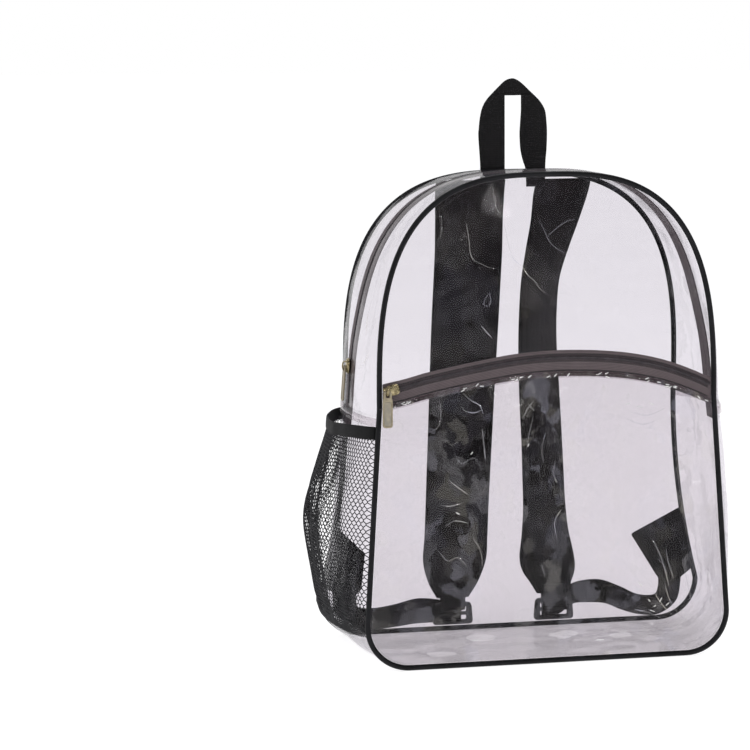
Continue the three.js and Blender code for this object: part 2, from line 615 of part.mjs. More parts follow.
function ladderLock(side) {
  const { width, low, high, thick } = LOCK, x = LOCK_X[side], w = WEBBING / 2 + 1.5;
  const shape = roundedBox(x - width / 2, low, x + width / 2, high, thick);
  for (const [from, to] of LOCK.slots) {
    const hole = new THREE.Path();
    hole.moveTo(x - w, low + from).lineTo(x - w, low + to).lineTo(x + w, low + to).lineTo(x + w, low + from);
    shape.holes.push(hole);
  }
  return plate("ladder_lock_" + side, plastic(), shape, lockY() - thick / 2, thick, 3);
}

// A flat band of webbing from a line of pairs of edge points.
function band(name, surface, pairs, thick) {
  const middle = pairs.map(([a, b]) => a.clone().add(b).multiplyScalar(0.5));
  const sections = pairs.map(([a, b], i) => {
    const onward = middle[Math.min(i + 1, pairs.length - 1)].clone().sub(middle[Math.max(i - 1, 0)]);
    const up = onward.cross(b.clone().sub(a)).normalize().multiplyScalar(thick / 2);
    return [a.clone().add(up), b.clone().add(up), b.clone().sub(up), a.clone().sub(up)];
  });
  return sweep(name, surface, sections);
}

// Loop of webbing that ties a strap's end to the top bar of its lock.
// Rows: behind the plate's middle, above the edge of its upper slot
const LOOP = [[-3, 20.8], [-3.6, 8.8], [-3.3, 3.6], [0, 1.5], [3.3, 3.6], [3.1, 8.8], [3.5, 20.8]];
const LOOP_THICK = 1.2;
function lockLoop(side) {
  const x = LOCK_X[side], w = WEBBING / 2, slot = LOCK.low + LOCK.slots[1][0];
  const pairs = LOOP.map(([out, up]) => [vec(x - w, lockY() + out, slot + up), vec(x + w, lockY() + out, slot + up)]);
  return band("lock_loop_" + side, webbing(), pairs, LOOP_THICK);
}

// Adjusting webbing, from behind each lock to its tab at the lower corner.
// Rows: upper edge x, out, z, then lower edge x, out, z. x is a share of the way from the lock's middle to the
// back's lower corner, and out the distance behind the back seam.
const WEB_RIGHT = [
  [-0.073, 20.2, 19, -0.073, 20.2, 3], [0.024, 20.2, 23, 0.048, 20.2, 5], [0.113, 20, 30, 0.153, 20, 13.5],
  [0.202, 17, 34.5, 0.25, 19, 14.5], [0.339, 13, 35.5, 0.379, 16.5, 13.5], [0.476, 12, 29, 0.492, 16, 7.5],
  [0.605, 10.5, 21.5, 0.629, 16, 2.2], [0.718, 8.5, 21, 0.774, 14, 2.4], [0.742, 6, 28, 0.887, 9, 15],
  [0.742, 4.9, 38, 0.907, 4.9, 36], [0.738, 4.5, 50, 0.907, 4.5, 50],
];
const WEB_LEFT = [
  [-0.076, 20.2, 19, -0.076, 20.2, 3], [0.042, 20.2, 22, 0.059, 20.2, 3], [0.169, 18, 25, 0.178, 19, 3.5],
  [0.288, 12.5, 26.5, 0.297, 15, 4], [0.441, 10.5, 23, 0.449, 13, 2.4], [0.593, 9, 21, 0.602, 11.5, 1.6],
  [0.712, 7.5, 22.5, 0.763, 10, 2.4], [0.729, 6, 29, 0.881, 8, 15], [0.729, 4.9, 38, 0.903, 4.9, 36],
  [0.725, 4.5, 50, 0.903, 4.5, 50],
];
function strapWebbing(side, rows) {
  const y0 = halfDepth(LOCK.high), corner = side === "left" ? -REAR.low : REAR.low;
  const at = (share, out, z) => vec(mix(LOCK_X[side], corner, share), y0 + out, z);
  const pairs = rows.map(([ax, ao, az, bx, bo, bz]) => [at(ax, ao, az), at(bx, bo, bz)]);
  return band("strap_webbing_" + side, webbing(), pairs, WEBBING_THICK);
}

// Triangular tabs sewn into the back seam, one for each adjusting webbing.
// Rows: how far inside the back seam, height
const TAB_THICK = 1.2;
const TAB_EDGE = {
  right: [[0.4, 99], [48.5, 77], [34, 40], [23.6, 27], [0.6, 44], [0.5, 70]],
  left: [[1.1, 95], [31, 70], [35, 40], [23.6, 27], [0.6, 44], [0.5, 70]],
};
function anchorTab(side) {
  const shape = new THREE.Shape(), sign = side === "left" ? -1 : 1;
  TAB_EDGE[side].forEach(([inside, z], i) => {
    const x = sign * (rearWidths.widthAt(z) + SEAM_INSET - inside);
    if (i) shape.lineTo(x, z);
    else shape.moveTo(x, z);
  });
  const tab = plate("anchor_tab_" + side, webbing(), shape, PIPE_RADIUS + GAP, TAB_THICK);
  const lean = (DEPTH_TOP - DEPTH_BOTTOM) / (2 * HEIGHT); // the back leans forward with height
  tab.geometry.applyMatrix4(new THREE.Matrix4().set(1, 0, 0, 0, 0, 1, lean, halfDepth(0), 0, 0, 1, 0, 0, 0, 0, 1));
  return tab;
}

// A zipper slider lies on its coil: a waisted body with a bridge on top. The pull has a window whose top bar
// passes under the bridge, and turns about it.
const SLIDER = { long: 13, wide: 9, tall: 2.6 };
const BRIDGE = { reach: 3.8, rise: 3.4, stock: 1.2, wide: 2 };
const PULL = { wide: 8.2, length: 29, thick: 1.3, bar: 1.3, window: 4.8, hinge: 1.12 };

function sliderBody() {
  const body = new THREE.Shape();
  const l = SLIDER.long / 2, w = SLIDER.wide / 2;
  const edge = [[-l, -w * 0.62], [-l + 2, -w * 0.8], [1, -w], [l - 2, -w], [l, -w * 0.7], [l, w * 0.7], [l - 2, w],
    [1, w], [-l + 2, w * 0.8], [-l, w * 0.62]];
  edge.forEach(([x, y], i) => (i ? body.lineTo(x, y) : body.moveTo(x, y)));
  const bevel = { bevelThickness: 0.3, bevelSize: 0.3, bevelOffset: -0.3, bevelSegments: 1 };
  return new THREE.ExtrudeGeometry(body, { depth: SLIDER.tall - 0.6, ...bevel }).translate(0, 0, 0.3);
}

// The bridge's arch in x and z, centred across y, standing on z = 0.
function bridge() {
  const { reach, rise, stock, wide } = BRIDGE, arch = new THREE.Shape();
  arch.moveTo(-reach, -0.4).lineTo(-reach, rise - 1.2).lineTo(-reach + 1.2, rise).lineTo(reach - 1.2, rise);
  arch.lineTo(reach, rise - 1.2).lineTo(reach, -0.4).lineTo(reach - stock, -0.4);
  arch.lineTo(reach - stock, rise - stock).lineTo(-reach + stock, rise - stock).lineTo(-reach + stock, -0.4);
  return new THREE.ExtrudeGeometry(arch, { depth: wide, bevelEnabled: false }).rotateX(Math.PI / 2)
    .translate(0, wide / 2, 0);
}

// The pull in y and z with its faces along x, hanging down from its window's top bar at the origin.
function pull() {
  const { wide, length, thick, bar, window, hinge } = PULL;
  const w = wide / 2, neck = 3.4, open = BRIDGE.wide / 2 + 0.45;
  const shape = new THREE.Shape();
  shape.moveTo(-neck + 0.8, bar / 2).lineTo(-neck, bar / 2 - 0.8).lineTo(-neck, -window - 0.6);
  shape.lineTo(-w, -window - 2.2).lineTo(-w, -length + 2).lineTo(-w + 0.6, -length + 0.6).lineTo(-w + 2, -length);
  shape.lineTo(w - 2, -length).lineTo(w - 0.6, -length + 0.6).lineTo(w, -length + 2).lineTo(w, -window - 2.2);
  shape.lineTo(neck, -window - 0.6).lineTo(neck, bar / 2 - 0.8).lineTo(neck - 0.8, bar / 2);
  const hole = new THREE.Path();
  hole.moveTo(-open, -bar / 2).lineTo(-open, -window).lineTo(open, -window).lineTo(open, -bar / 2);
  shape.holes.push(hole);
  const geometry = new THREE.ExtrudeGeometry(shape, { depth: thick, bevelEnabled: false });
  // shape x becomes y, shape y becomes z, depth becomes x
  return geometry.applyMatrix4(new THREE.Matrix4().set(0, 0, 1, -thick / 2, 1, 0, 0, 0, 0, 1, 0, 0, 0, 0, 0, 1));
}

// A slider and its pull on the cloth. at: the point on the cloth; onward, out: along the zipper and out of the
// cloth; up, away: opposite to the way the pull hangs, and the way it turns out; shift: bridge along the zipper.
function sliderAndPull(name, at, onward, out, up, away, shift) {
  const side = out.clone().cross(onward).normalize(), face = onward.clone().cross(side).normalize();
  const body = sliderBody().applyMatrix4(new THREE.Matrix4().makeBasis(onward, side, face).setPosition(at));
  const foot = at.clone().addScaledVector(onward, shift).addScaledVector(face, SLIDER.tall);
  const turned = new THREE.Matrix4().makeBasis(up, away.clone().cross(up), away);
  const arch = bridge().applyMatrix4(turned.clone().setPosition(foot));
  const pivot = foot.clone().addScaledVector(away, PULL.hinge);
  const hang = new THREE.Matrix4().makeBasis(away, up.clone().cross(away), up).setPosition(pivot);
  const pulled = pull().applyMatrix4(hang);
  return [
    fromSolid(name + "_slider", brass(), solid(body).add(solid(arch))),
    fromSolid(name + "_pull", brass(), solid(pulled)),
    pivot,
  ];
}

const POCKET_SLIDER_X = -0.8962 * FRONT.mid; // near the left end of the pocket zipper
function pocketSlider() {
  const x = POCKET_SLIDER_X, z = pocketZ(x), step = 5;
  const onLine = (px) => vec(px, frontFace(px, pocketZ(px)), pocketZ(px));
  const onward = onLine(x + step).sub(onLine(x - step)).normalize();
  const up = vec(0, frontFace(x, z + step) - frontFace(x, z - step), 2 * step).normalize();
  const out = onward.clone().cross(up).normalize();
  const at = onLine(x).addScaledVector(out, COIL_OUT + COIL_RADIUS + GAP);
  return sliderAndPull("pocket", at, onward, out, vec(0, 0, 1), vec(0, -1, 0), -3.6);
}

const MAIN_SLIDER_Z = LIFT + 0.6009 * HEIGHT; // on the left side, its pull ending above the net pocket
function mainSlider() {
  const place = placeAt(MAIN_SLIDER_Z, true), across = zipAcross(place), step = 0.25;
  const onward = sidePoint(place - step, across).sub(sidePoint(place + step, across)).normalize();
  const wide = sidePoint(place, across + 0.04).sub(sidePoint(place, across - 0.04)).normalize();
  const out = wide.clone().cross(onward).normalize();
  if (out.x > 0) out.negate();
  const at = sidePoint(place, across, 0).addScaledVector(out, COIL_RADIUS + GAP - MAIN_COIL_IN);
  return sliderAndPull("main", at, onward, out, onward, out, 0);
}

const root = new THREE.Group();
root.name = "clear_backpack";
const add = (...meshes) => meshes.flat().forEach((mesh) => root.add(mesh));

add(panel("front_panel", frontWidths, frontFace, PANEL_NEAR, PANEL_NEAR + VINYL));
add(pocketPanel());
add(pocketZipper());
add(panel("back_panel", rearWidths, rearFace, -VINYL / 2, VINYL / 2));
add(lowerGusset(), upperGusset(), gussetSeams(), mainZipper());
add(pipingRing("front_piping", frontRing, -1), pipingRing("back_piping", rearRing, 1));
add(netPocket());
add(grabHandle());
add(strap("shoulder_strap_left", STRAP_LEFT), strap("shoulder_strap_right", STRAP_RIGHT));
for (const side of ["left", "right"]) add(ladderLock(side), lockLoop(side), anchorTab(side));
add(strapWebbing("left", WEB_LEFT), strapWebbing("right", WEB_RIGHT));
for (const [slider, pull] of [pocketSlider(), mainSlider()]) add(slider, pull);

export default root;
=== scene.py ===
"""Clear stadium backpack: the looks of every piece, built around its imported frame.

The script works in millimetres, with +X to the right as seen from the front, +Y to the back and +Z up, and turns
them into metres where a mesh is made. Pieces are surfaces worked out with numpy from the bag's own sizes.
"""

import logging
import math
from collections.abc import Callable
from dataclasses import dataclass, field
from enum import Enum

import bmesh
import bpy
import numpy as np
from mathutils import Matrix


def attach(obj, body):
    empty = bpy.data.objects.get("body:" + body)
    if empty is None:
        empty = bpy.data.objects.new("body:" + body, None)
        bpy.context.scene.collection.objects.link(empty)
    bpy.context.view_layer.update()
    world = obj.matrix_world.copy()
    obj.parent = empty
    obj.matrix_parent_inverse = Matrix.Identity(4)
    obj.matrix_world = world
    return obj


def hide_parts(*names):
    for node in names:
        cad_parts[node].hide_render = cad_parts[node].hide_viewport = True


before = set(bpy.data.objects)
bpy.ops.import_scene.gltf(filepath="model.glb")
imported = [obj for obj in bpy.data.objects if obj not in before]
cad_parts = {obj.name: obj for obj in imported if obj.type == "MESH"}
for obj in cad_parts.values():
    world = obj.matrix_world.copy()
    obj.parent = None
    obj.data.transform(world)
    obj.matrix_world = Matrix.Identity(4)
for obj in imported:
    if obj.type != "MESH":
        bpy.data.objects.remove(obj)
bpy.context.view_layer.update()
MM = 0.001
LOG = logging.getLogger("backpack")
Array = np.ndarray
Value = bpy.types.NodeSocket | float


class Slot(Enum):
    """The record's material slots."""

    VINYL = "clear_vinyl"
    PIPING = "black_piping"
    TAPE = "zipper_tape"
    COIL = "zipper_coil"
    BRASS = "antique_brass"
    NET = "black_net"
    WEBBING = "black_webbing"
    STRAP = "strap_fabric"
    PLASTIC = "black_plastic"


class Side(Enum):
    """Left or right as seen from the front, with the sign of x there."""

    LEFT = -1
    RIGHT = 1

    @property
    def label(self) -> str:
        """The side as pieces are named after it."""
        return self.name.lower()


def mix(a: Array | float, b: Array | float, t: Array | float) -> Array | float:
    """Straight blend from a to b."""
    return a + (b - a) * t


def ease(v: Array) -> Array:
    """Smooth step: 3 t^2 - 2 t^3 with t held between 0 and 1."""
    t = np.clip(v, 0.0, 1.0)
    return t * t * (3.0 - 2.0 * t)


def unit(v: Array) -> Array:
    """Vectors of length one along the last axis."""
    return v / np.maximum(np.linalg.norm(v, axis=-1, keepdims=True), 1e-12)


def along(table: list, x: Array, column: int = 1) -> Array:
    """Cubic curve through the rows of a table, with the slopes of its neighbours (Hermite form).

    Args:
        table: rows whose first column rises.
        x: where to read it.
        column: the column that is read.

    Returns:
        The column's value at each x, held at its ends.
    """
    rows = np.asarray([row[: column + 1] for row in table], float)
    xs, ys = rows[:, 0], rows[:, column]
    slope = np.empty_like(ys)
    slope[1:-1] = (ys[2:] - ys[:-2]) / (xs[2:] - xs[:-2])
    slope[0] = (ys[1] - ys[0]) / (xs[1] - xs[0])
    slope[-1] = (ys[-1] - ys[-2]) / (xs[-1] - xs[-2])
    x = np.asarray(x, float)
    i = np.clip(np.searchsorted(xs, x, side="right") - 1, 0, len(xs) - 2)
    span = xs[i + 1] - xs[i]
    t = np.clip((x - xs[i]) / span, 0.0, 1.0)
    t2, t3 = t * t, t * t * t
    return (
        (2 * t3 - 3 * t2 + 1) * ys[i]
        + (t3 - 2 * t2 + t) * span * slope[i]
        + (3 * t2 - 2 * t3) * ys[i + 1]
        + (t3 - t2) * span * slope[i + 1]
    )


@dataclass
class Skin:
    """Vertices, faces and UVs of one piece while it is put together from patches."""

    points: list = field(default_factory=list)
    quads: list = field(default_factory=list)
    triangles: list = field(default_factory=list)
    quad_uv: list = field(default_factory=list)
    triangle_uv: list = field(default_factory=list)
    count: int = 0

    def patch(self, grid: Array, uv: Array | None = None, wrap: tuple = (False, False), flip: bool = False) -> Array:
        """Adds a grid of points as quads.

        Args:
            grid: points, rows x columns x 3.
            uv: UVs in millimetres, one more row and column than the grid where it wraps.
            wrap: whether rows and columns close on themselves.
            flip: turns the faces round.

        Returns:
            The vertex numbers of the grid.
        """
        rows, columns = grid.shape[:2]
        number = self.count + np.arange(rows * columns).reshape(rows, columns)
        self.points.append(grid.reshape(-1, 3))
        self.count += rows * columns
        closed = np.pad(number, ((0, int(wrap[0])), (0, int(wrap[1]))), mode="wrap")
        if uv is None:
            uv = np.stack(np.meshgrid(np.arange(closed.shape[0]), np.arange(closed.shape[1]), indexing="ij"), -1)
        corners = [(slice(None, -1), slice(None, -1)), (slice(1, None), slice(None, -1)),
                   (slice(1, None), slice(1, None)), (slice(None, -1), slice(1, None))]
        if flip:
            corners = corners[::-1]
        self.quads.append(np.stack([closed[c].ravel() for c in corners], -1))
        self.quad_uv.append(np.stack([uv[c].reshape(-1, 2) for c in corners], -2))
        return number

    def shell(self, outer: Array, inner: Array, uv: Array | None = None, flip: bool = False) -> None:
        """Adds a closed sheet between two grids of the same size, with faces along its rim.

        Args:
            outer: points of the side that faces out.
            inner: points of the other side.
            uv: UVs in millimetres for both sides.
            flip: True where rows x columns turn the other way round.
        """
        a = self.patch(outer, uv, flip=flip)
        b = self.patch(inner, uv, flip=not flip)
        rims = [(a[0], b[0], False), (a[-1], b[-1], True), (a[:, 0], b[:, 0], True), (a[:, -1], b[:, -1], False)]
        for first, second, turned in rims:
            loop = [first[:-1], first[1:], second[1:], second[:-1]]
            if turned != flip:
                loop = loop[::-1]
            self.quads.append(np.stack(loop, -1))
            self.quad_uv.append(np.zeros((len(first) - 1, 4, 2)))

    def tube(self, sections: Array, uv: Array | None = None, closed: bool = False) -> None:
        """Adds a solid through rings of points, closed on itself or with a cap at each end.

        Args:
            sections: rings x points x 3.
            uv: UVs in millimetres.
            closed: joins the last ring to the first one.
        """
        number = self.patch(sections, uv, wrap=(closed, True))
        if closed:
            return
        for ring, turned in ((number[0], False), (number[-1], True)):
            centre = np.mean(sections[-1 if turned else 0], axis=0, keepdims=True)
            self.points.append(centre)
            middle = np.full(len(ring), self.count)
            self.count += 1
            following = np.roll(ring, -1)
            fan = np.stack([middle, following, ring] if turned else [middle, ring, following], -1)
            self.triangles.append(fan)
            self.triangle_uv.append(np.zeros((len(ring), 3, 2)))

    def copies(self, base: Array, faces: Array, at: Array) -> None:
        """Adds many copies of one small shape.

        Args:
            base: copies x points x 3, each copy's points already in place.
            faces: the quads of one copy.
            at: UV of each copy, copies x 2.
        """
        n, k = base.shape[:2]
        start = self.count + np.arange(n)[:, None, None] * k
        self.points.append(base.reshape(-1, 3))
        self.count += n * k
        self.quads.append((start + faces[None]).reshape(-1, 4))
        self.quad_uv.append(np.repeat(at, len(faces), axis=0)[:, None, :].repeat(4, axis=1))

    def build(self, name: str) -> bpy.types.Object:
        """Puts the collected patches into one mesh object in metres, smooth shaded, with its UV map.

        Args:
            name: the object's name.

        Returns:
            The new object.
        """
        points = np.concatenate(self.points) * MM
        quads = np.concatenate(self.quads) if self.quads else np.zeros((0, 4), int)
        threes = np.concatenate(self.triangles) if self.triangles else np.zeros((0, 3), int)
        uv = np.concatenate([u.reshape(-1, 2) for u in self.quad_uv + self.triangle_uv]) * MM
        loops = np.concatenate([quads.ravel(), threes.ravel()]).astype(np.int32)
        sizes = np.concatenate([np.full(len(quads), 4), np.full(len(threes), 3)])
        mesh = bpy.data.meshes.new(name)
        mesh.vertices.add(len(points))
        mesh.vertices.foreach_set("co", points.astype(np.float32).ravel())
        mesh.loops.add(len(loops))
        mesh.loops.foreach_set("vertex_index", loops)
        mesh.polygons.add(len(sizes))
        mesh.polygons.foreach_set("loop_start", np.concatenate([[0], np.cumsum(sizes)[:-1]]).astype(np.int32))
        mesh.update(calc_edges=True)
        mesh.polygons.foreach_set("use_smooth", np.ones(len(sizes), bool))
        layer = mesh.uv_layers.new(name="cloth")
        layer.data.foreach_set("uv", uv.astype(np.float32).ravel())
        mesh.validate()
        made = bpy.data.objects.new(name, mesh)
        bpy.context.scene.collection.objects.link(made)
        return made


def flow(line: Array, closed: bool = False) -> tuple[Array, Array]:
    """Directions along a line of points and the distance run so far.

    Args:
        line: points x 3.
        closed: whether the last point leads back to the first.

    Returns:
        Unit tangents by central differences, and the length up to each point.
    """
    if closed:
        tangent = np.roll(line, -1, 0) - np.roll(line, 1, 0)
    else:
        tangent = np.gradient(line, axis=0)
    run = np.concatenate([[0.0], np.cumsum(np.linalg.norm(np.diff(line, axis=0), axis=1))])
    return unit(tangent), run


def read_line(line: Array, run: Array, at: Array) -> Array:
    """Points of a line, or directions given for its points, at distances at along its run."""
    return np.stack([np.interp(at, run, line[:, k]) for k in range(3)], -1)


def even_line(line: Array, step: float) -> Array:
    """The same line with points at even distances of about step."""
    run = flow(line)[1]
    count = max(int(round(run[-1] / step)), 2)
    return read_line(line, run, np.linspace(0, run[-1], count + 1))


def keep_sign(v: Array, power: float) -> Array:
    """|v| to a power, with the sign of v."""
    return np.sign(v) * np.abs(v) ** power


def circle(count: int) -> Array:
    """Angles of count points at even distances around a circle."""
    return np.linspace(0, 2 * math.pi, count, endpoint=False)


def cloth_grid(run: Array, girth: Array) -> Array:
    """UVs of a band or tube: the distance along it and the distance around it."""
    return np.stack(np.meshgrid(run, girth, indexing="ij"), -1)


def to_front(points: Array) -> Array:
    """The direction to the front of the bag, once for each point."""
    return np.broadcast_to([0.0, -1.0, 0.0], points.shape)


@dataclass(frozen=True)
class Panel:
    """Half-widths of a panel at the lower corner, in the middle of the side and where its arch starts, and the
    arch's and the panel's height as shares of the bag's height."""

    low: float
    mid: float
    spring: float
    arch: float
    tall: float


@dataclass
class BagShape:
    """The bag's own form, which every piece sits on: two piped outlines, the side between them and the faces."""

    height: float = 394.0
    depth_bottom: float = 131.0
    depth_top: float = 115.0
    pipe: float = 2.25
    vinyl: float = 1.0
    gap: float = 0.35
    corner: float = 34.4
    power: float = 2.9
    front: Panel = Panel(150.2, 144.5, 138.7, 0.467, 1.0)
    rear: Panel = Panel(166.0, 148.0, 143.6, 0.4348, 0.992)
    front_bulge: float = 4.0
    back_bulge: float = 2.0
    pocket_bulge: float = 8.0
    side_bow: float = 16.5
    bow_under_net: float = 0.75
    side_edge: float = 0.9
    seam_share: float = 0.5146
    slot: float = 6.5
    pocket_slot: float = 11.0
    tape_thick: float = 0.8
    base_steps: int = 4
    corner_steps: int = 5
    side_steps: int = 7
    arch_steps: int = 17
    bow: tuple = ((0, 0), (0.0146, 0), (0.0755, 0.242), (0.1466, 0.606), (0.2227, 0.879), (0.2989, 1),
                  (0.4131, 0.97), (0.5146, 0.818), (0.6288, 0.606), (0.7303, 0.333), (0.8572, 0.212), (1.01, 0.182))
    zip_place: tuple = ((0, 0.56, 0.44), (0.45, 0.57, 0.44), (0.62, 0.54, 0.5), (0.8, 0.5, 0.55), (0.92, 0.47, 0.5),
                        (1, 0.46, 0.46))
    pocket: tuple = ((-0.969, 0.5656), (-0.9, 0.5717), (-0.817, 0.578), (-0.706, 0.5889), (-0.54, 0.6016),
                     (-0.367, 0.6131), (-0.2, 0.6224), (-0.028, 0.6275), (0.145, 0.6275), (0.318, 0.624),
                     (0.495, 0.6156), (0.671, 0.6004), (0.834, 0.5783), (0.969, 0.5552))

    def __post_init__(self) -> None:
        """Works out the two outlines once, finely."""
        self.half = self.base_steps + self.corner_steps + self.side_steps + self.arch_steps
        self.around = 2 * self.half
        self.lift = self.pipe
        self.inset = self.pipe + self.gap
        self.seam_z = self.lift + self.seam_share * self.height
        self.rings = {panel: self._half_ring(panel) for panel in (self.front, self.rear)}
        self.widths = {panel: self._inside(panel) for panel in (self.front, self.rear)}

    def half_depth(self, z: Array) -> Array:
        """Half the distance between the two seams at height z, a straight taper."""
        return mix(self.depth_bottom, self.depth_top, (z - self.lift) / self.height) / 2

    def _half_ring(self, panel: Panel) -> tuple:
        """Right half of an outline as x, z and its outward normal, against the place along it.

        The base is straight, the corner a quarter circle, the side a parabola through three half-widths, and
        the arch a superellipse of power `power`, run through at even lengths."""
        rise = self.height * panel.arch
        spring = self.height * panel.tall - rise

        def side(u: Array) -> Array:
            """x and z of the side at share u of its height above the corner."""
            x = panel.low * (1 - u) * (1 - 2 * u) + 4 * panel.mid * u * (1 - u) + panel.spring * u * (2 * u - 1)
            return np.stack([x, mix(self.corner, spring, u)], -1)

        fine = 60
        flat = panel.low - self.corner
        q = np.linspace(0, self.base_steps, 4 * fine, endpoint=False)
        base = np.stack([flat * q / self.base_steps, 0 * q], -1)
        a = np.linspace(0, math.pi / 2, 5 * fine, endpoint=False)
        bend = np.stack([flat + self.corner * np.sin(a), self.corner - self.corner * np.cos(a)], -1)
        seam = (self.seam_z - self.lift - self.corner) / (spring - self.corner)
        straight = side(np.linspace(0, seam, 7 * fine, endpoint=False))
        a = np.linspace(0, math.pi / 2, 40 * fine)
        over = np.stack([panel.spring * np.maximum(np.cos(a), 0) ** (2 / self.power),
                         spring + rise * np.sin(a) ** (2 / self.power)], -1)
        rest = np.concatenate([side(np.linspace(seam, 1, 2 * fine, endpoint=False)), over])
        run = np.concatenate([[0], np.cumsum(np.hypot(*np.diff(rest, axis=0).T))])
        at = np.linspace(0, run[-1], self.arch_steps * fine + 1)
        arch = np.stack([np.interp(at, run, rest[:, 0]), np.interp(at, run, rest[:, 1])], -1)
        line = np.concatenate([base, bend, straight, arch])
        place = np.concatenate([
            q,
            self.base_steps + np.linspace(0, self.corner_steps, 5 * fine, endpoint=False),
            self.base_steps + self.corner_steps + np.linspace(0, self.side_steps, 7 * fine, endpoint=False),
            self.half - self.arch_steps + np.linspace(0, self.arch_steps, self.arch_steps * fine + 1),
        ])
        back, on = line[:-2] - line[1:-1], line[2:] - line[1:-1]
        tangent = np.concatenate([[[1.0, 0.0]], unit(unit(on) - unit(back)), [[-1.0, 0.0]]])
        return place, line[:, 0], line[:, 1] + self.lift, tangent[:, 1], -tangent[:, 0]

    def ring(self, panel: Panel, place: Array) -> tuple:
        """x, z and the outward normal's x and z of an outline at places counted up the right side."""
        p = np.mod(place, self.around)
        left = p > self.half
        q = np.where(left, self.around - p, p)
        table = self.rings[panel]
        x, z, nx, nz = (np.interp(q, table[0], column) for column in table[1:])
        sign = np.where(left, -1.0, 1.0)
        long = np.hypot(nx, nz)
        return x * sign, z, nx * sign / long, nz / long

    def depth_at(self, place: Array) -> Array:
        """Distance between the two seams at a place around the bag."""
        return self.half_depth(self.ring(self.front, place)[1]) + self.half_depth(self.ring(self.rear, place)[1])

    def side_point(self, place: Array, across: Array, extra: Array | float = 0.0) -> Array:
        """Outer face of the side at a place around the bag and a share across it, moved out by extra.

        It starts at the seams and bows out between them by bow * sqrt(4 t (1 - t))."""
        place, across = np.broadcast_arrays(np.asarray(place, float), np.asarray(across, float))
        fx, fz, fnx, fnz = self.ring(self.front, place)
        rx, rz, rnx, rnz = self.ring(self.rear, place)
        nx, nz = mix(fnx, rnx, across), mix(fnz, rnz, across)
        long = np.hypot(nx, nz)
        low = np.minimum(fz, rz)
        edge = mix(self.pipe, self.side_edge, ease((low / self.corner - 0.17) / 1.16))
        hem = self.inset / (self.half_depth(fz) + self.half_depth(rz))
        t = np.clip((across - hem) / (1 - 2 * hem), 0, 1)
        left = ease((0.415 - fx / self.front.mid) / 0.83)
        bow = self.side_bow * along(self.bow, (low - self.lift) / self.height) * mix(1, self.bow_under_net, left)
        out = edge + bow * np.sqrt(4 * t * (1 - t)) + extra
        y = mix(-self.half_depth(fz), self.half_depth(rz), across)
        return np.stack([mix(fx, rx, across) + nx / long * out, y, mix(fz, rz, across) + nz / long * out], -1)

    def side_normal(self, place: Array, across: Array) -> Array:
        """Outward normal of the side, from central differences of side_point."""
        e, f = 0.02, 0.002
        u = self.side_point(place + e, across) - self.side_point(place - e, across)
        v = self.side_point(place, across + f) - self.side_point(place, across - f)
        return unit(np.cross(v, u))

    def zip_across(self, place: Array) -> Array:
        """Share across the side at which the main zipper runs."""
        p = np.mod(place, self.around)
        left = p > self.half
        share = np.where(left, self.around - p, p) / self.half
        return np.where(left, along(self.zip_place, share, 1), along(self.zip_place, share, 2))

    def place_at(self, z: float, side: Side) -> float:
        """Place around the bag at which the front seam reaches height z."""
        table = self.rings[self.front]
        keep = table[0] >= self.base_steps
        place = float(np.interp(z, table[2][keep], table[0][keep]))
        return place if side is Side.RIGHT else self.around - place

    def _inside(self, panel: Panel) -> tuple:
        """Edge of a panel's sheet, just inside its piping: place, half-width and height."""
        place = np.linspace(self.base_steps, self.half, 1200)
        x, z, nx, nz = self.ring(panel, place)
        w, h = x - nx * self.inset, z - nz * self.inset
        w[-1] = 0.0
        return place, np.maximum(w, 0.0), np.maximum.accumulate(h)

    def width_at(self, panel: Panel, z: Array) -> Array:
        """Half-width of a panel's sheet at height z."""
        _, w, h = self.widths[panel]
        return np.interp(z, h, w)

    def pillow(self, x: Array, z: Array, panel: Panel) -> Array:
        """0 at a panel's edges and 1 in its middle: (1 - u^2) (4 v (1 - v))^0.7."""
        h = self.widths[panel][2]
        u = np.clip(x / np.maximum(self.width_at(panel, z), 1.0), -1, 1)
        v = np.clip((z - h[0]) / (h[-1] - h[0]), 0, 1)
        return (1 - u * u) * (4 * v * (1 - v)) ** 0.7

    def front_face(self, x: Array, z: Array) -> Array:
        """y of the face that the front's sheets are layered on."""
        return -self.half_depth(z) - self.front_bulge * self.pillow(x, z, self.front)

    def rear_face(self, x: Array, z: Array) -> Array:
        """y of the back panel's middle."""
        return self.half_depth(z) + self.back_bulge * self.pillow(x, z, self.rear)

    def pocket_z(self, x: Array) -> Array:
        """Height of the pocket zipper's centre line at x."""
        return self.lift + self.height * along(self.pocket, x / self.front.mid)

    def pocket_slope(self, x: Array) -> Array:
        """Slope of the pocket zipper's centre line at x."""
        return (self.pocket_z(x + 1) - self.pocket_z(x - 1)) / 2

    def above_pocket_line(self, u: Array, distance: Array) -> tuple:
        """x and z at a distance above the pocket zipper's line, at share u between the two front seams."""
        u, distance = np.broadcast_arrays(np.asarray(u, float), np.asarray(distance, float))
        x = u * 0.0
        z = self.pocket_z(x)
        for _ in range(6):
            x = u * self.width_at(self.front, z)
            z = self.pocket_z(x) + distance
        return x, z


SHAPE = BagShape()


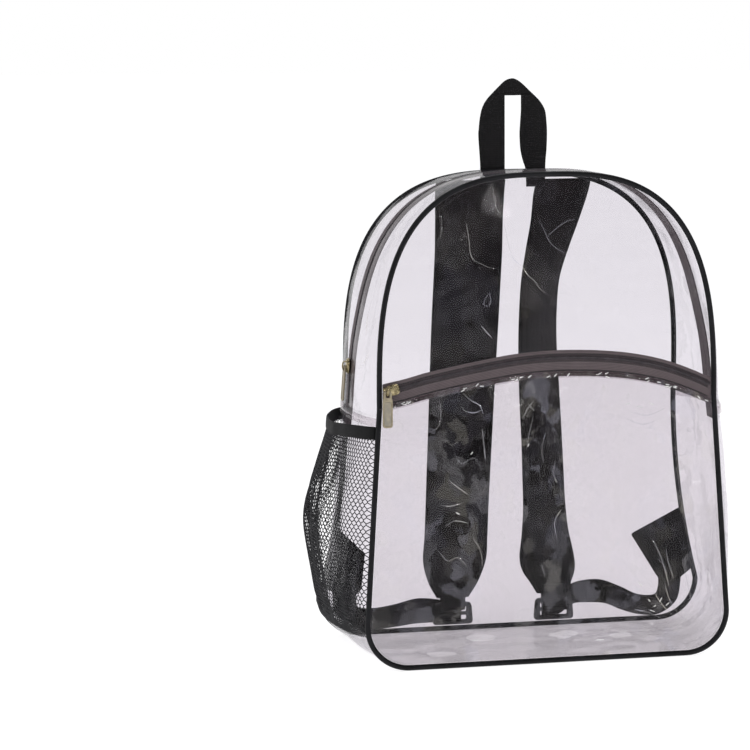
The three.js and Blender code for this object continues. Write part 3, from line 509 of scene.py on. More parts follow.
class Graph:
    """A material's node tree, with short calls to add and join nodes."""

    def __init__(self, name: str) -> None:
        """Starts an empty material of that name."""
        self.material = bpy.data.materials.new(name)
        self.material.use_nodes = True
        self.tree = self.material.node_tree
        self.tree.nodes.clear()

    def add(self, kind: str, settings: dict | None = None, **inputs) -> bpy.types.Node:
        """Adds a node.

        Args:
            kind: the node's type without its ShaderNode prefix.
            settings: the node's own properties.
            inputs: values or output sockets for its inputs, by name with _ for a space, or by number as i0, i1.

        Returns:
            The node.
        """
        node = self.tree.nodes.new("ShaderNode" + kind)
        for key, value in (settings or {}).items():
            setattr(node, key, value)
        for key, value in inputs.items():
            number = key[0] == "i" and key[1:].isdigit()
            socket = node.inputs[int(key[1:])] if number else node.inputs[key.replace("_", " ")]
            if isinstance(value, bpy.types.NodeSocket):
                self.tree.links.new(value, socket)
            else:
                socket.default_value = value
        return node

    def math(self, operation: str, a: Value, b: Value = 0.0, c: Value = 0.0) -> bpy.types.NodeSocket:
        """A Math node's result."""
        return self.add("Math", {"operation": operation}, i0=a, i1=b, i2=c).outputs[0]

    def spread(self, value: Value, low: float, high: float, to_low: float, to_high: float) -> bpy.types.NodeSocket:
        """Value mapped from low..high to to_low..to_high and held there."""
        node = self.add("MapRange", {}, Value=value, From_Min=low, From_Max=high, To_Min=to_low, To_Max=to_high)
        return node.outputs[0]

    def blend(self, factor: Value, a: Value | tuple, b: Value | tuple) -> bpy.types.NodeSocket:
        """Mix of two colours."""
        node = self.add("Mix", {"data_type": "RGBA"}, Factor=factor)
        for value, socket in ((a, node.inputs[6]), (b, node.inputs[7])):
            if isinstance(value, bpy.types.NodeSocket):
                self.tree.links.new(value, socket)
            else:
                socket.default_value = (*value, 1.0)
        return node.outputs[2]

    def noise(self, scale: float, detail: float = 2.0, roughness: float = 0.5,
              stretch: tuple = (1, 1, 1)) -> bpy.types.NodeSocket:
        """Noise on object coordinates, stretched along the axes."""
        where = self.add("TexCoord").outputs["Object"]
        moved = self.add("Mapping", {}, Vector=where, Scale=stretch).outputs[0]
        return self.add("TexNoise", {}, Vector=moved, Scale=scale, Detail=detail, Roughness=roughness).outputs["Fac"]

    def cloth_uv(self) -> tuple:
        """The two coordinates of the piece's UV map, in metres."""
        uv = self.add("UVMap", {"uv_map": "cloth"}).outputs[0]
        split = self.add("SeparateXYZ", {}, Vector=uv)
        return split.outputs[0], split.outputs[1]

    def finish(self, surface: bpy.types.NodeSocket) -> bpy.types.Material:
        """Joins the surface to the output and returns the material."""
        out = self.add("OutputMaterial")
        self.tree.links.new(surface, out.inputs["Surface"])
        return self.material


@dataclass(frozen=True)
class ClearVinyl:
    """Soft clear sheet: tinted through, mirror-like at a slant, and milky, with brighter milky cells and thin lines
    that paint the reflections and glints of its crumpled facets and creases.

    Each sheet has two faces, so every value here is what one face does."""

    name: str = "clear_vinyl"
    tint: tuple = (0.925, 0.915, 0.929)
    facet: float = 34.0
    stretch: tuple = (1.0, 1.0, 0.75)
    # Milky diffuse amount per face, low and high: partly the sheet's milkiness, partly painted reflection of its
    # crumpled facets
    haze_and_painted_reflection: tuple = (0.0003, 0.014)
    # Milky amount along thin lines: a painted highlight along the lines of the creases
    lines: float = 0.03
    warm: tuple = (0.9, 0.86, 0.74)
    cool: tuple = (0.78, 0.78, 0.95)
    roughness: float = 0.08
    ripple: float = 0.35
    straight: float = 0.004
    slanted: float = 0.4

    def material(self) -> bpy.types.Material:
        """Transparent mixed with haze, and with gloss by (1 - cos)^5 of the angle it is seen at.

        The milky amount takes one value for each cell of a bent Voronoi pattern, with thin lines where the bending
        noise is near its middle; the brighter cells and lines are painted reflection and painted highlight of the
        crumples, over the sheet's real milkiness."""
        g = Graph(self.name)
        where = g.add("TexCoord").outputs["Object"]
        bump = g.add("Bump", {}, Strength=self.ripple, Distance=0.004, Height=g.noise(24.0, 1.0, 0.5)).outputs[0]
        clear = g.add("BsdfTransparent", {}, Color=(*self.tint, 1)).outputs[0]
        gloss = g.add("BsdfGlossy", {}, Color=(1, 1, 1, 1), Roughness=self.roughness, Normal=bump).outputs[0]
        facing = g.add("LayerWeight", {}, Blend=0.5, Normal=bump).outputs["Facing"]
        slant = g.math("MULTIPLY_ADD", g.math("POWER", facing, 5.0), self.slanted, self.straight)
        bend = g.add("TexNoise", {}, Vector=where, Scale=44.0, Detail=3.0)
        moved = g.add("VectorMath", {"operation": "MULTIPLY_ADD"}, i0=bend.outputs["Color"], i1=(0.045, 0.045, 0.05),
                      i2=where).outputs[0]
        drawn = g.add("VectorMath", {"operation": "MULTIPLY"}, i0=moved, i1=self.stretch).outputs[0]
        cells = g.add("TexVoronoi", {}, Vector=drawn, Scale=self.facet).outputs["Color"]
        value = g.add("SeparateColor", {}, i0=cells)
        flat = g.math("POWER", value.outputs[0], 3.0)
        off = g.math("ABSOLUTE", g.math("SUBTRACT", bend.outputs[0], 0.5))
        # Thin lines and bright cells of milkiness paint the highlights and reflections of creases and crumpled facets
        thin = g.math("MULTIPLY", g.spread(off, 0.0, 0.006, 1.0, 0.0), g.spread(value.outputs[1], 0.4, 0.6, 0, 1))
        amount = g.math("MULTIPLY_ADD", thin, self.lines, g.spread(flat, 0.0, 1.0, *self.haze_and_painted_reflection))
        colour = g.blend(value.outputs[2], self.warm, self.cool)
        haze_and_painted_reflection = g.add("BsdfDiffuse", {}, Color=colour, Normal=bump).outputs[0]
        body = g.add("MixShader", {}, i0=amount, i1=clear, i2=haze_and_painted_reflection).outputs[0]
        return g.finish(g.add("MixShader", {}, i0=slant, i1=body, i2=gloss).outputs[0])


@dataclass(frozen=True)
class Solid:
    """A plain moulded or extruded surface: colour with a little variation, roughness and fine bumps."""

    name: str
    colour: tuple
    second: tuple
    roughness: float = 0.35
    scale: float = 60.0
    bump: float = 0.1
    metallic: float = 0.0
    gloss: float = 0.5

    def material(self) -> bpy.types.Material:
        """One Principled surface with noise in its colour, roughness and bump."""
        g = Graph(self.name)
        broad = g.noise(self.scale, 3.0)
        fine = g.noise(self.scale * 14, 2.0)
        colour = g.blend(g.spread(broad, 0.35, 0.7, 0, 1), self.colour, self.second)
        rough = g.spread(fine, 0.3, 0.7, self.roughness * 0.8, min(self.roughness * 1.3, 1))
        bump = g.add("Bump", {}, Strength=self.bump, Distance=0.0003, Height=fine).outputs[0]
        shader = g.add("BsdfPrincipled", {}, Base_Color=colour, Roughness=rough, Normal=bump)
        shader.inputs["Metallic"].default_value = self.metallic
        shader.inputs["Specular IOR Level"].default_value = self.gloss
        return g.finish(shader.outputs[0])


@dataclass(frozen=True)
class Woven:
    """A woven tape: ribs across the weave on the piece's UV map, which is in metres along and across the tape."""

    name: str
    dark: tuple
    light: tuple
    along_pitch: float = 0.0016
    across_pitch: float = 0.0011
    depth: float = 0.0002
    roughness: float = 0.78
    sheen: float = 0.04
    ribs_only: bool = False

    def material(self) -> bpy.types.Material:
        """Bump is |sin(along)| times |sin(across)|, and the threads' tops are lighter than the gaps, a painted shade
        in the gaps between threads.
        """
        g = Graph(self.name)
        u, v = g.cloth_uv()
        run = g.math("ABSOLUTE", g.math("SINE", g.math("MULTIPLY", u, math.pi / self.along_pitch)))
        cross = g.math("ABSOLUTE", g.math("SINE", g.math("MULTIPLY", v, math.pi / self.across_pitch)))
        weave = cross if self.ribs_only else g.math("MULTIPLY", g.math("POWER", run, 0.6), g.math("POWER", cross, 0.6))
        worn = g.noise(160.0, 3.0)
        # The weave term darkens the gaps between threads, a painted shade; the worn noise is random tone
        shade = g.math("ADD", g.math("MULTIPLY", weave, 0.75), g.math("MULTIPLY", worn, 0.35))
        colour = g.blend(g.spread(shade, 0.1, 1.05, 0, 1), self.dark, self.light)
        bump = g.add("Bump", {}, Strength=0.7, Distance=self.depth, Height=weave).outputs[0]
        shader = g.add("BsdfPrincipled", {}, Base_Color=colour, Normal=bump, Roughness=self.roughness)
        shader.inputs["Sheen Weight"].default_value = self.sheen
        shader.inputs["Specular IOR Level"].default_value = 0.25
        return g.finish(shader.outputs[0])


@dataclass(frozen=True)
class StrapCloth:
    """Coarse black cloth of the straps, with worn brownish patches and soft wrinkles."""

    name: str = "strap_fabric"
    dark: tuple = (0.0008, 0.0008, 0.0013)
    worn: tuple = (0.012, 0.0085, 0.0075)
    pitch: float = 0.0011

    def material(self) -> bpy.types.Material:
        """The weave is |sin| times |sin| on the cloth's UVs and lightens the thread tops, a painted shade in the gaps;
        broad noise blends the two colours.
        """
        g = Graph(self.name)
        u, v = g.cloth_uv()
        threads = [g.math("ABSOLUTE", g.math("SINE", g.math("MULTIPLY", w, math.pi / self.pitch))) for w in (u, v)]
        weave = g.math("MULTIPLY", *threads)
        patches = g.noise(24.0, 5.0, 0.6, stretch=(1, 1, 0.5))
        # Weave term: thread tops lighter than the gaps between them, a painted shade
        shade = g.math("MULTIPLY_ADD", weave, 0.2, g.spread(patches, 0.4, 0.68, 0.0, 0.8))
        colour = g.blend(shade, self.dark, self.worn)
        folds = g.noise(55.0, 4.0, 0.6, stretch=(1, 1, 0.5))
        soft = g.add("Bump", {}, Strength=0.6, Distance=0.003, Height=folds).outputs[0]
        bump = g.add("Bump", {}, Strength=0.5, Distance=0.0002, Height=weave, Normal=soft).outputs[0]
        shader = g.add("BsdfPrincipled", {}, Base_Color=colour, Normal=bump, Roughness=0.8)
        shader.inputs["Sheen Weight"].default_value = 0.03
        shader.inputs["Specular IOR Level"].default_value = 0.3
        return g.finish(shader.outputs[0])


class Finishes:
    """Every finish of the bag, made once."""

    def __init__(self) -> None:
        """Makes the materials."""
        self.vinyl = ClearVinyl().material()
        # Side sheets: grey milky cells stretched along the strips paint streaky reflections, besides real milkiness
        self.side_vinyl = ClearVinyl("clear_vinyl_side", stretch=(0.2, 3.0, 0.5), haze_and_painted_reflection=(0.0, 0.1),
                                     warm=(0.42, 0.4, 0.38), cool=(0.42, 0.42, 0.5), ripple=0.9).material()
        # Pocket sheet: more milky cells and lines, a painted reflection and painted highlight of its crumples
        self.pocket_vinyl = ClearVinyl("clear_vinyl_pocket", (0.912, 0.899, 0.906), 74.0, haze_and_painted_reflection=(0.001, 0.055),
                                       lines=0.07).material()
        self.hem = ClearVinyl("clear_vinyl_hem", (0.88, 0.86, 0.87), 150.0, haze_and_painted_reflection=(0.001, 0.07),
                              straight=0.012).material()
        # Raised lines of the creases: pale milky finish, a painted highlight along them, besides real gloss
        self.crease_painted_highlight = ClearVinyl("clear_vinyl_crease", (0.97, 0.97, 0.98), haze_and_painted_reflection=(0.04, 0.3), straight=0.03).material()
        # Near-white milky beads: painted glints on puckers of the sheet, besides real gloss
        self.pucker_and_painted_glint = ClearVinyl("clear_vinyl_pucker", (0.9, 0.9, 0.9), haze_and_painted_reflection=(0.6, 0.95), warm=(1.0, 0.98, 0.96),
                                 cool=(0.98, 0.98, 1.0), straight=0.05).material()
        self.piping = Solid("black_piping", (0.004, 0.004, 0.005), (0.01, 0.01, 0.012), 0.38, 40, 0.15,
                            gloss=0.15).material()
        self.tape = Woven("zipper_tape", (0.048, 0.037, 0.041), (0.138, 0.108, 0.114), 0.0009, 0.0012, 0.00018,
                          0.7, 0.1, True).material()
        self.coil = Solid("zipper_coil", (0.03, 0.024, 0.029), (0.065, 0.052, 0.06), 0.4, 200, 0.05).material()
        self.brass = Solid("antique_brass", (0.44, 0.37, 0.22), (0.12, 0.095, 0.05), 0.2, 260, 0.2, 1.0).material()
        self.pull = Solid("antique_brass_pull", (0.36, 0.31, 0.22), (0.24, 0.2, 0.135), 0.38, 240, 0.3, 0.6).material()
        self.pull_face = Solid("pull_face", (0.26, 0.24, 0.2), (0.36, 0.31, 0.23), 0.5, 300, 0.3, 0.2).material()
        self.net = Solid("black_net", (0.008, 0.008, 0.01), (0.02, 0.02, 0.023), 0.6, 300, 0.1).material()
        self.webbing = Woven("black_webbing", (0.001, 0.001, 0.0012), (0.0095, 0.0085, 0.0095)).material()
        self.binding = Woven("black_binding", (0.001, 0.001, 0.0013), (0.008, 0.008, 0.009), 0.0008, 0.0008).material()
        self.strap = StrapCloth().material()
        self.plastic = Solid("black_plastic", (0.006, 0.006, 0.007), (0.014, 0.014, 0.015), 0.33, 90, 0.12).material()
        self.hem_thread = Solid("zipper_thread", (0.05, 0.045, 0.043), (0.1, 0.09, 0.085), 0.35, 400, 0.2).material()
        self.thread = Solid("seam_thread", (0.012, 0.012, 0.014), (0.03, 0.03, 0.034), 0.6, 500, 0.2).material()


def dress(made: bpy.types.Object, material: bpy.types.Material, slot: Slot, *nodes: str,
          body: str = "bag") -> bpy.types.Object:
    """Gives a finished piece its material and body, and hides the CAD nodes that it stands for.

    Args:
        made: the piece.
        material: its finish.
        slot: the record's slot; not used.
        nodes: the CAD nodes that it replaces.
        body: the body that it rides on.

    Returns:
        The piece.
    """
    made.data.materials.clear()
    made.data.materials.append(material)
    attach(made, body)
    if nodes:
        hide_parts(*nodes)
    LOG.info("%s: %d faces", made.name, len(made.data.polygons))
    return made


@dataclass
class Creases:
    """Creases and soft waves of a sheet, as a height over its x and z (or any two lengths in millimetres).

    Each crease is a bent line: a ridge of height exp(-(d / width)^2) that fades out at both ends."""

    seed: int
    extent: tuple
    count: int = 60
    length: tuple = (18.0, 70.0)
    width: tuple = (1.6, 3.2)
    height: tuple = (0.15, 0.6)
    waves: float = 0.5
    upright: float = 0.5
    by_hand: tuple = ()

    def at(self, x: Array, z: Array) -> Array:
        """Height of the sheet's creases at each point.

        Args:
            x: first coordinate.
            z: second coordinate.

        Returns:
            The height in millimetres, up and down about zero.
        """
        rng = np.random.default_rng(self.seed)
        x0, x1, z0, z1 = self.extent
        total = np.zeros(np.broadcast(x, z).shape)
        for _ in range(9):
            a = rng.uniform(0, math.pi)
            long = rng.uniform(38, 110)
            total += self.waves * rng.uniform(0.3, 1) * np.sin(
                2 * math.pi * (x * math.cos(a) + z * math.sin(a)) / long + rng.uniform(0, 6.28)) / 3
        lines = [tuple(line) for line in self.by_hand]
        for _ in range(self.count):
            a = rng.normal(math.pi / 2, 0.9) if rng.random() < self.upright else rng.uniform(0, math.pi)
            lines.append((rng.uniform(x0, x1), rng.uniform(z0, z1), math.degrees(a), rng.uniform(*self.length),
                          rng.uniform(-0.012, 0.012), rng.uniform(*self.width),
                          rng.uniform(*self.height) * rng.choice([-1, 1])))
        for cx, cz, turn, long, bend, wide, high in lines:
            ca, sa = math.cos(math.radians(turn)), math.sin(math.radians(turn))
            t = (x - cx) * ca + (z - cz) * sa
            d = -(x - cx) * sa + (z - cz) * ca - bend * t * t
            fade = ease(1.6 - 1.6 * np.abs(t) / (long / 2))
            total += high * fade * np.exp(-((d / wide) ** 2))
        return total


# Creases that show most, in the front and then on the pocket: x, z, turn in degrees, length, bend, width, height
FRONT_CREASES = (
    (-62.0, 325.0, 105.0, 50.0, 0.012, 1.5, -0.7), (-40.0, 352.0, 110.0, 30.0, 0.006, 1.3, -0.5),
    (-5.0, 330.0, 128.0, 44.0, 0.004, 1.4, -0.6), (-8.0, 300.0, 125.0, 50.0, 0.004, 1.4, -0.6),
    (12.0, 325.0, 60.0, 34.0, -0.01, 1.4, -0.5), (-75.0, 300.0, 20.0, 40.0, 0.01, 2.0, -0.5),
)
POCKET_CREASES = (
    (-60.0, 170.0, 80.0, 60.0, 0.012, 1.6, 0.8), (-45.0, 95.0, 30.0, 46.0, -0.01, 1.8, 0.8),
    (20.0, 150.0, 70.0, 70.0, 0.01, 1.7, 0.7), (10.0, 60.0, 35.0, 40.0, 0.02, 1.8, 0.7),
    (95.0, 60.0, 40.0, 60.0, 0.008, 1.6, 0.7),
)
# Sharp creases as points x and z: across the upper front, and on the pocket
UPPER_RIDGES = (
    ((-67, 359), (-65, 346), (-64, 335), (-61, 329), (-55, 326), (-49, 323), (-44, 322)),
    ((-45, 387), (-44, 378), (-43, 372), (-41, 368), (-39, 365)), ((-43, 372), (-45, 370), (-46, 368)),
    ((-8, 359), (-4, 353), (-1, 346), (3, 340), (10, 335), (16, 332)),
    ((-1, 346), (5, 352), (14, 358), (22, 360)), ((-22, 324), (-17, 316), (-12, 312), (-8, 306), (-3, 301)),
    ((-49, 303), (-53, 297), (-53, 293), (-49, 293), (-48, 298), (-49, 303)), ((-56, 277), (-51, 271), (-47, 267)),
    ((-36, 357), (-33, 341), (-29, 330), (-23, 324)),
)
POCKET_RIDGES = (
    ((-72, 224), (-66, 218), (-59, 214), (-56, 207)), ((-74, 215), (-71, 210), (-63, 208), (-58, 210)),
    ((-91, 220), (-90, 209), (-92, 198), (-97, 195)), ((-57, 195), (-56, 181), (-55, 169)),
    ((-20, 215), (-17, 211), (-14, 208)), ((-24, 203), (-20, 210), (-15, 216)), ((-15, 205), (-19, 191), (-22, 177)),
    ((-84, 154), (-75, 147), (-70, 143)), ((-92, 135), (-84, 134), (-75, 136)), ((-10, 85), (-8, 79), (-7, 73)),
    ((-88, 118), (-80, 122), (-70, 120)), ((-6, 190), (-9, 178), (-8, 166)), ((2, 168), (0, 158), (3, 150)),
    ((95, 62), (100, 48), (108, 36), (118, 28)), ((86, 56), (94, 44), (104, 34)), ((112, 74), (116, 58), (120, 40)),
    ((70, 42), (84, 38), (100, 28)), ((60, 200), (76, 194), (90, 197)), ((64, 205), (80, 201), (96, 206)),
    ((84, 100), (90, 88), (95, 74), (99, 60)), ((96, 92), (98, 80), (103, 66)), ((88, 84), (94, 78), (97, 70)),
    ((-94, 98), (-86, 90), (-78, 92), (-70, 84)), ((-66, 108), (-60, 98), (-58, 84)), ((6, 128), (1, 118), (3, 104)),
    ((-80, 176), (-74, 168), (-64, 172), (-58, 162)), ((-88, 190), (-82, 183), (-76, 186)),
)

# Creases of the left side as heights z and shares across it from the front
SIDE_RIDGES = (
    ((214, 0.30), (205, 0.27), (198, 0.20), (194, 0.07)), ((300, 0.2), (285, 0.24), (268, 0.21)),
    ((330, 0.8), (312, 0.84), (296, 0.8)), ((255, 0.12), (246, 0.2), (240, 0.3)),
    ((232, 0.75), (220, 0.7), (212, 0.8)),
)

# Painted glints on the pocket, near-white beads where puckers catch the light, as x, z, turn in degrees and half
# length
GLINTS = (
    (74, 63, -50, 2.2), (82, 49, -50, 1.6), (85, 40, -20, 2.4), (92, 49, 60, 2), (98, 45, 40, 2),
    (87, 44, 30, 1.3), (64, 211, 10, 2.4), (74, 208, -5, 2.8), (84, 210, -20, 2), (-63, 23, 5, 3),
    (41, 18, 0, 3.5), (-46, 222, -50, 1.6), (-20, 181, 70, 1.5), (-78, 128, -30, 1.8), (-66, 176, 50, 1.4),
)


def hold_edges(u: Array, v: Array, share: float = 0.06) -> Array:
    """0 on the rim of a sheet and 1 inside it, over a share of its size; u and v run from 0 to 1."""
    return ease(np.minimum(u, 1 - u) / share) * ease(np.minimum(v, 1 - v) / share)


@dataclass
class VinylBody:
    """The clear sheets: front, pocket, back, the lower side strip and the two upper ones, and the cross seams."""

    finishes: Finishes
    thick: float = 0.6
    columns: int = 130
    tape_gap: float = 0.5
    hem_pitch: float = 3.6
    hem_painted_glints: int = 30
    hem_deep: float = 4.9
    pocket_gap: float = 0.3
    fold: tuple = (7.0, 0.5, 0.3, 1.1)
    front_creases: Creases = field(default_factory=lambda: Creases(
        11, (-140, 140, 20, 390), 40, width=(2.6, 4.5), by_hand=FRONT_CREASES))
    pocket_creases: Creases = field(default_factory=lambda: Creases(
        37, (-140, 140, 15, 235), 60, width=(2.6, 4.5), height=(0.2, 0.75), upright=0.35, by_hand=POCKET_CREASES))
    back_creases: Creases = field(default_factory=lambda: Creases(
        23, (-150, 150, 20, 390), 30, width=(2.6, 4.5), height=(0.1, 0.35)))

    def _rows(self, panel: Panel, count: int) -> tuple:
        """Half-widths and heights of the rows of a panel, at even places up its edge."""
        place, w, h = SHAPE.widths[panel]
        at = np.linspace(place[0], place[-1], count)
        return np.interp(at, place, w), np.interp(at, place, h)

    def _shares(self, panel: Panel, x: Array, z: Array) -> tuple:
        """Shares across and up a panel's sheet, from 0 to 1."""
        heights = SHAPE.widths[panel][2]
        return (x / np.maximum(SHAPE.width_at(panel, z), 1) + 1) / 2, (z - heights[0]) / (heights[-1] - heights[0])

    def front_y(self, x: Array, z: Array) -> Array:
        """y of the front sheet's middle, with its creases dying out at the seams."""
        near = SHAPE.tape_thick / 2 + self.tape_gap + SHAPE.vinyl / 2
        hold = hold_edges(*self._shares(SHAPE.front, x, z))
        return SHAPE.front_face(x, z) + near + self.front_creases.at(x, z) * hold

    def pocket_y(self, x: Array, z: Array) -> Array:
        """y of the pocket sheet's middle: the front's face, then the pocket's bulge and its creases."""
        bottom = SHAPE.widths[SHAPE.front][2][0]
        u = x / np.maximum(SHAPE.width_at(SHAPE.front, z), 1)
        v = np.clip((z - bottom) / (SHAPE.pocket_z(x) - SHAPE.pocket_slot - bottom), 0, 1)
        base = SHAPE.front_face(x, z) - SHAPE.tape_thick / 2 - self.pocket_gap - SHAPE.vinyl / 2
        swell = SHAPE.pocket_bulge * np.maximum(1 - u**2, 0) * 4 * v * (1 - v)
        return base - swell - np.abs(self.pocket_creases.at(x, z)) * hold_edges((u + 1) / 2, v)

    def back_y(self, x: Array, z: Array) -> Array:
        """y of the back sheet's middle."""
        return SHAPE.rear_face(x, z) + self.back_creases.at(x, z) * hold_edges(*self._shares(SHAPE.rear, x, z))

    def _whole(self, name: str, panel: Panel, surface: Callable[[Array, Array], Array], sign: int,
               material: bpy.types.Material) -> None:
        """A whole panel, whose rows run between both of its edges."""
        w, z = self._rows(panel, 230)
        u = np.linspace(-1, 1, self.columns + 1)
        x = w[:, None] * u[None]
        z = np.broadcast_to(z[:, None], x.shape)
        y = surface(x, z)
        skin = Skin()
        outer = np.stack([x, y + sign * self.thick / 2, z], -1)
        inner = np.stack([x, y - sign * self.thick / 2, z], -1)
        skin.shell(outer, inner, np.stack([x, z], -1), flip=sign < 0)
        dress(skin.build(name + "_sheet"), material, Slot.VINYL, name)

    def front(self) -> None:
        """The front sheet, behind the pocket zipper's tapes."""
        self._whole("front_panel", SHAPE.front, self.front_y, -1, self.finishes.vinyl)

    def back(self) -> None:
        """The back sheet."""
        self._whole("back_panel", SHAPE.rear, self.back_y, 1, self.finishes.vinyl)

    def pocket(self) -> None:
        """The pocket's sheet, from the bottom up to its zipper, standing forward in its middle."""
        z = self._rows(SHAPE.front, 230)[1]
        corner = float(np.interp(SHAPE.base_steps + SHAPE.corner_steps, *SHAPE.widths[SHAPE.front][::2]))
        u = np.linspace(-1, 1, self.columns + 1)
        top = SHAPE.above_pocket_line(u, -SHAPE.pocket_slot)[1]
        low = z[z < corner - 0.5]
        free = np.linspace(0, 1, 130)
        rows = np.concatenate([np.broadcast_to(low[:, None], (len(low), len(u))),
                               corner + (top[None] - corner) * free[:, None]])
        x = SHAPE.width_at(SHAPE.front, rows) * u[None]
        y = self.pocket_y(x, rows)
        half = self.thick / 2
        skin = Skin()
        skin.shell(np.stack([x, y - half, rows], -1), np.stack([x, y + half, rows], -1), np.stack([x, rows], -1),
                   flip=True)
        dress(skin.build("pocket_panel_sheet"), self.finishes.pocket_vinyl, Slot.VINYL, "pocket_panel")

    def hem(self) -> None:
        """The pocket's folded and stitched upper edge, puckered between its stitches, with near-white beads on it as
        painted glints of the puckers.
        """
        u = np.linspace(-0.995, 0.995, 420)
        down = np.array([0.0, 0.5, 1.4, 2.4, 3.4, 4.3, self.hem_deep])
        grid_u, grid_d = np.meshgrid(u, -SHAPE.pocket_slot - down, indexing="ij")
        x, z = SHAPE.above_pocket_line(grid_u, grid_d)
        run = np.broadcast_to(x[:, :1], x.shape)
        crown = (4 * (down / self.hem_deep) * (1 - down / self.hem_deep))[None] ** 0.6
        pucker_and_painted_glint = 0.22 * np.sin(run * 2 * math.pi / 7.3 + 1.3 * np.sin(run / 23)) * crown
        y = self.pocket_y(x, z) - self.thick / 2 - 0.1
        outer = np.stack([x, y - 0.25 - 0.3 * crown + pucker_and_painted_glint, z], -1)
        inner = np.stack([x, y, z], -1)
        skin = Skin()
        skin.shell(outer, inner, np.stack([run, grid_d], -1))
        fix_outward(dress(skin.build("pocket_hem"), self.finishes.hem, Slot.VINYL))
        # Painted glints: small near-white beads scattered along the hem
        rng = np.random.default_rng(5)
        gx = np.sort(rng.uniform(-132, 132, self.hem_painted_glints))
        gz = SHAPE.pocket_z(gx) - SHAPE.pocket_slot - rng.uniform(1.2, 4.2, self.hem_painted_glints)
        lean = SHAPE.pocket_slope(gx)
        turn = rng.uniform(-0.5, 0.9, self.hem_painted_glints)
        glint = np.stack([gx, self.pocket_y(gx, gz) - self.thick / 2 - 0.6, gz], -1)
        folds = Skin()
        beads(folds, glint, unit(np.stack([np.cos(turn), 0 * gx, lean + np.sin(turn)], -1)),
              to_front(glint), (1.7, 0.5, 0.3))
        dress(folds.build("pocket_hem_painted_glints"), self.finishes.pucker_and_painted_glint, Slot.VINYL)
        sx = np.arange(-138.0, 138.0, self.hem_pitch)
        sz = SHAPE.pocket_z(sx) - SHAPE.pocket_slot - 2.0
        forward = unit(np.stack([np.ones_like(sx), 0 * sx, SHAPE.pocket_slope(sx)], -1))
        centre = np.stack([sx, self.pocket_y(sx, sz) - self.thick / 2 - 0.62, sz], -1)
        thread = Skin()
        beads(thread, centre, forward, to_front(centre), (1.35, 0.3, 0.25))
        dress(thread.build("pocket_hem_stitches"), self.finishes.hem_thread, Slot.TAPE)

    def ridges(self) -> None:
        """Sharp creases as thin raised lines on the sheets, each through a few points and tapering at both ends, in a
        pale finish that paints the highlight along each of them.
        """
        skin = Skin()
        away = self.thick / 2 + 0.02

        def ridge(path: Array, out: Array) -> None:
            """Adds one raised line, thickest in its middle, that stands up along out."""
            side = unit(np.cross(flow(path)[0], out))[:, None]
            t = np.linspace(0, 1, len(path))
            radius = (0.06 + 0.36 * (4 * t * (1 - t)) ** 0.5)[:, None, None]
            a = circle(6)[None, :, None]
            skin.tube(path[:, None] + side * np.cos(a) * radius + out[:, None] * np.sin(a) * 0.6 * radius)

        for surface, lines in ((self.front_y, UPPER_RIDGES), (self.pocket_y, POCKET_RIDGES)):
            for line in lines:
                x, z = smooth_rows([(*point, 0.0) for point in line], 14 * (len(line) - 1) + 1)[:, :2].T
                path = np.stack([x, surface(x, z) - away, z], -1)
                ridge(path, to_front(path))
        for line in SIDE_RIDGES:
            z, across = smooth_rows([(*point, 0.0) for point in line], 14 * (len(line) - 1) + 1)[:, :2].T
            place = np.array([SHAPE.place_at(height, Side.LEFT) for height in z])
            ridge(SHAPE.side_point(place, across, away), SHAPE.side_normal(place, across))
        fix_outward(dress(skin.build("sheet_ridges"), self.finishes.crease_painted_highlight, Slot.VINYL))
        # Painted glints: near-white beads at the listed places on the pocket
        x, z, turn, half = np.array(GLINTS, float).T
        turn = np.radians(turn)
        centre = np.stack([x, self.pocket_y(x, z) - away - 0.1, z], -1)
        forward = np.stack([np.cos(turn), 0 * x, np.sin(turn)], -1)
        spots = Skin()
        for pick in range(len(x)):
            beads(spots, centre[pick:pick + 1], forward[pick:pick + 1], np.array([[0.0, -1.0, 0.0]]),
                  (half[pick], 0.35, 0.25))
        dress(spots.build("sheet_glints"), self.finishes.pucker_and_painted_glint, Slot.VINYL)

    def _strip(self, name: str, start: float, stop: float, edges: Callable[[Array], tuple], columns: int,
               creases: Creases | None, outer: float, inner: float, material: bpy.types.Material,
               nodes: tuple) -> None:
        """A strip of the side between two places, with its edges given as shares across it."""
        count = int((stop - start) * 7) + 2
        place = np.linspace(start, stop, count)
        low, high = edges(place)
        share = (1 - np.cos(np.linspace(0, math.pi, columns + 1))) / 2
        across = mix(low[:, None], high[:, None], share[None])
        grid = np.broadcast_to(place[:, None], across.shape)
        run = flow(SHAPE.side_point(place, 0.5))[1]
        wide = across * SHAPE.depth_at(place)[:, None]
        uv = np.stack([np.broadcast_to(run[:, None], wide.shape), wide], -1)
        extra = 0.0
        if creases is not None:
            hold = hold_edges(np.broadcast_to(np.linspace(0, 1, count)[:, None], across.shape),
                              np.broadcast_to(share[None], across.shape), 0.05)
            extra = creases.at(uv[..., 0], uv[..., 1]) * hold
        skin = Skin()
        skin.shell(SHAPE.side_point(grid, across, outer + extra), SHAPE.side_point(grid, across, inner + extra), uv,
                   flip=True)
        dress(skin.build(name), material, Slot.VINYL, *nodes)

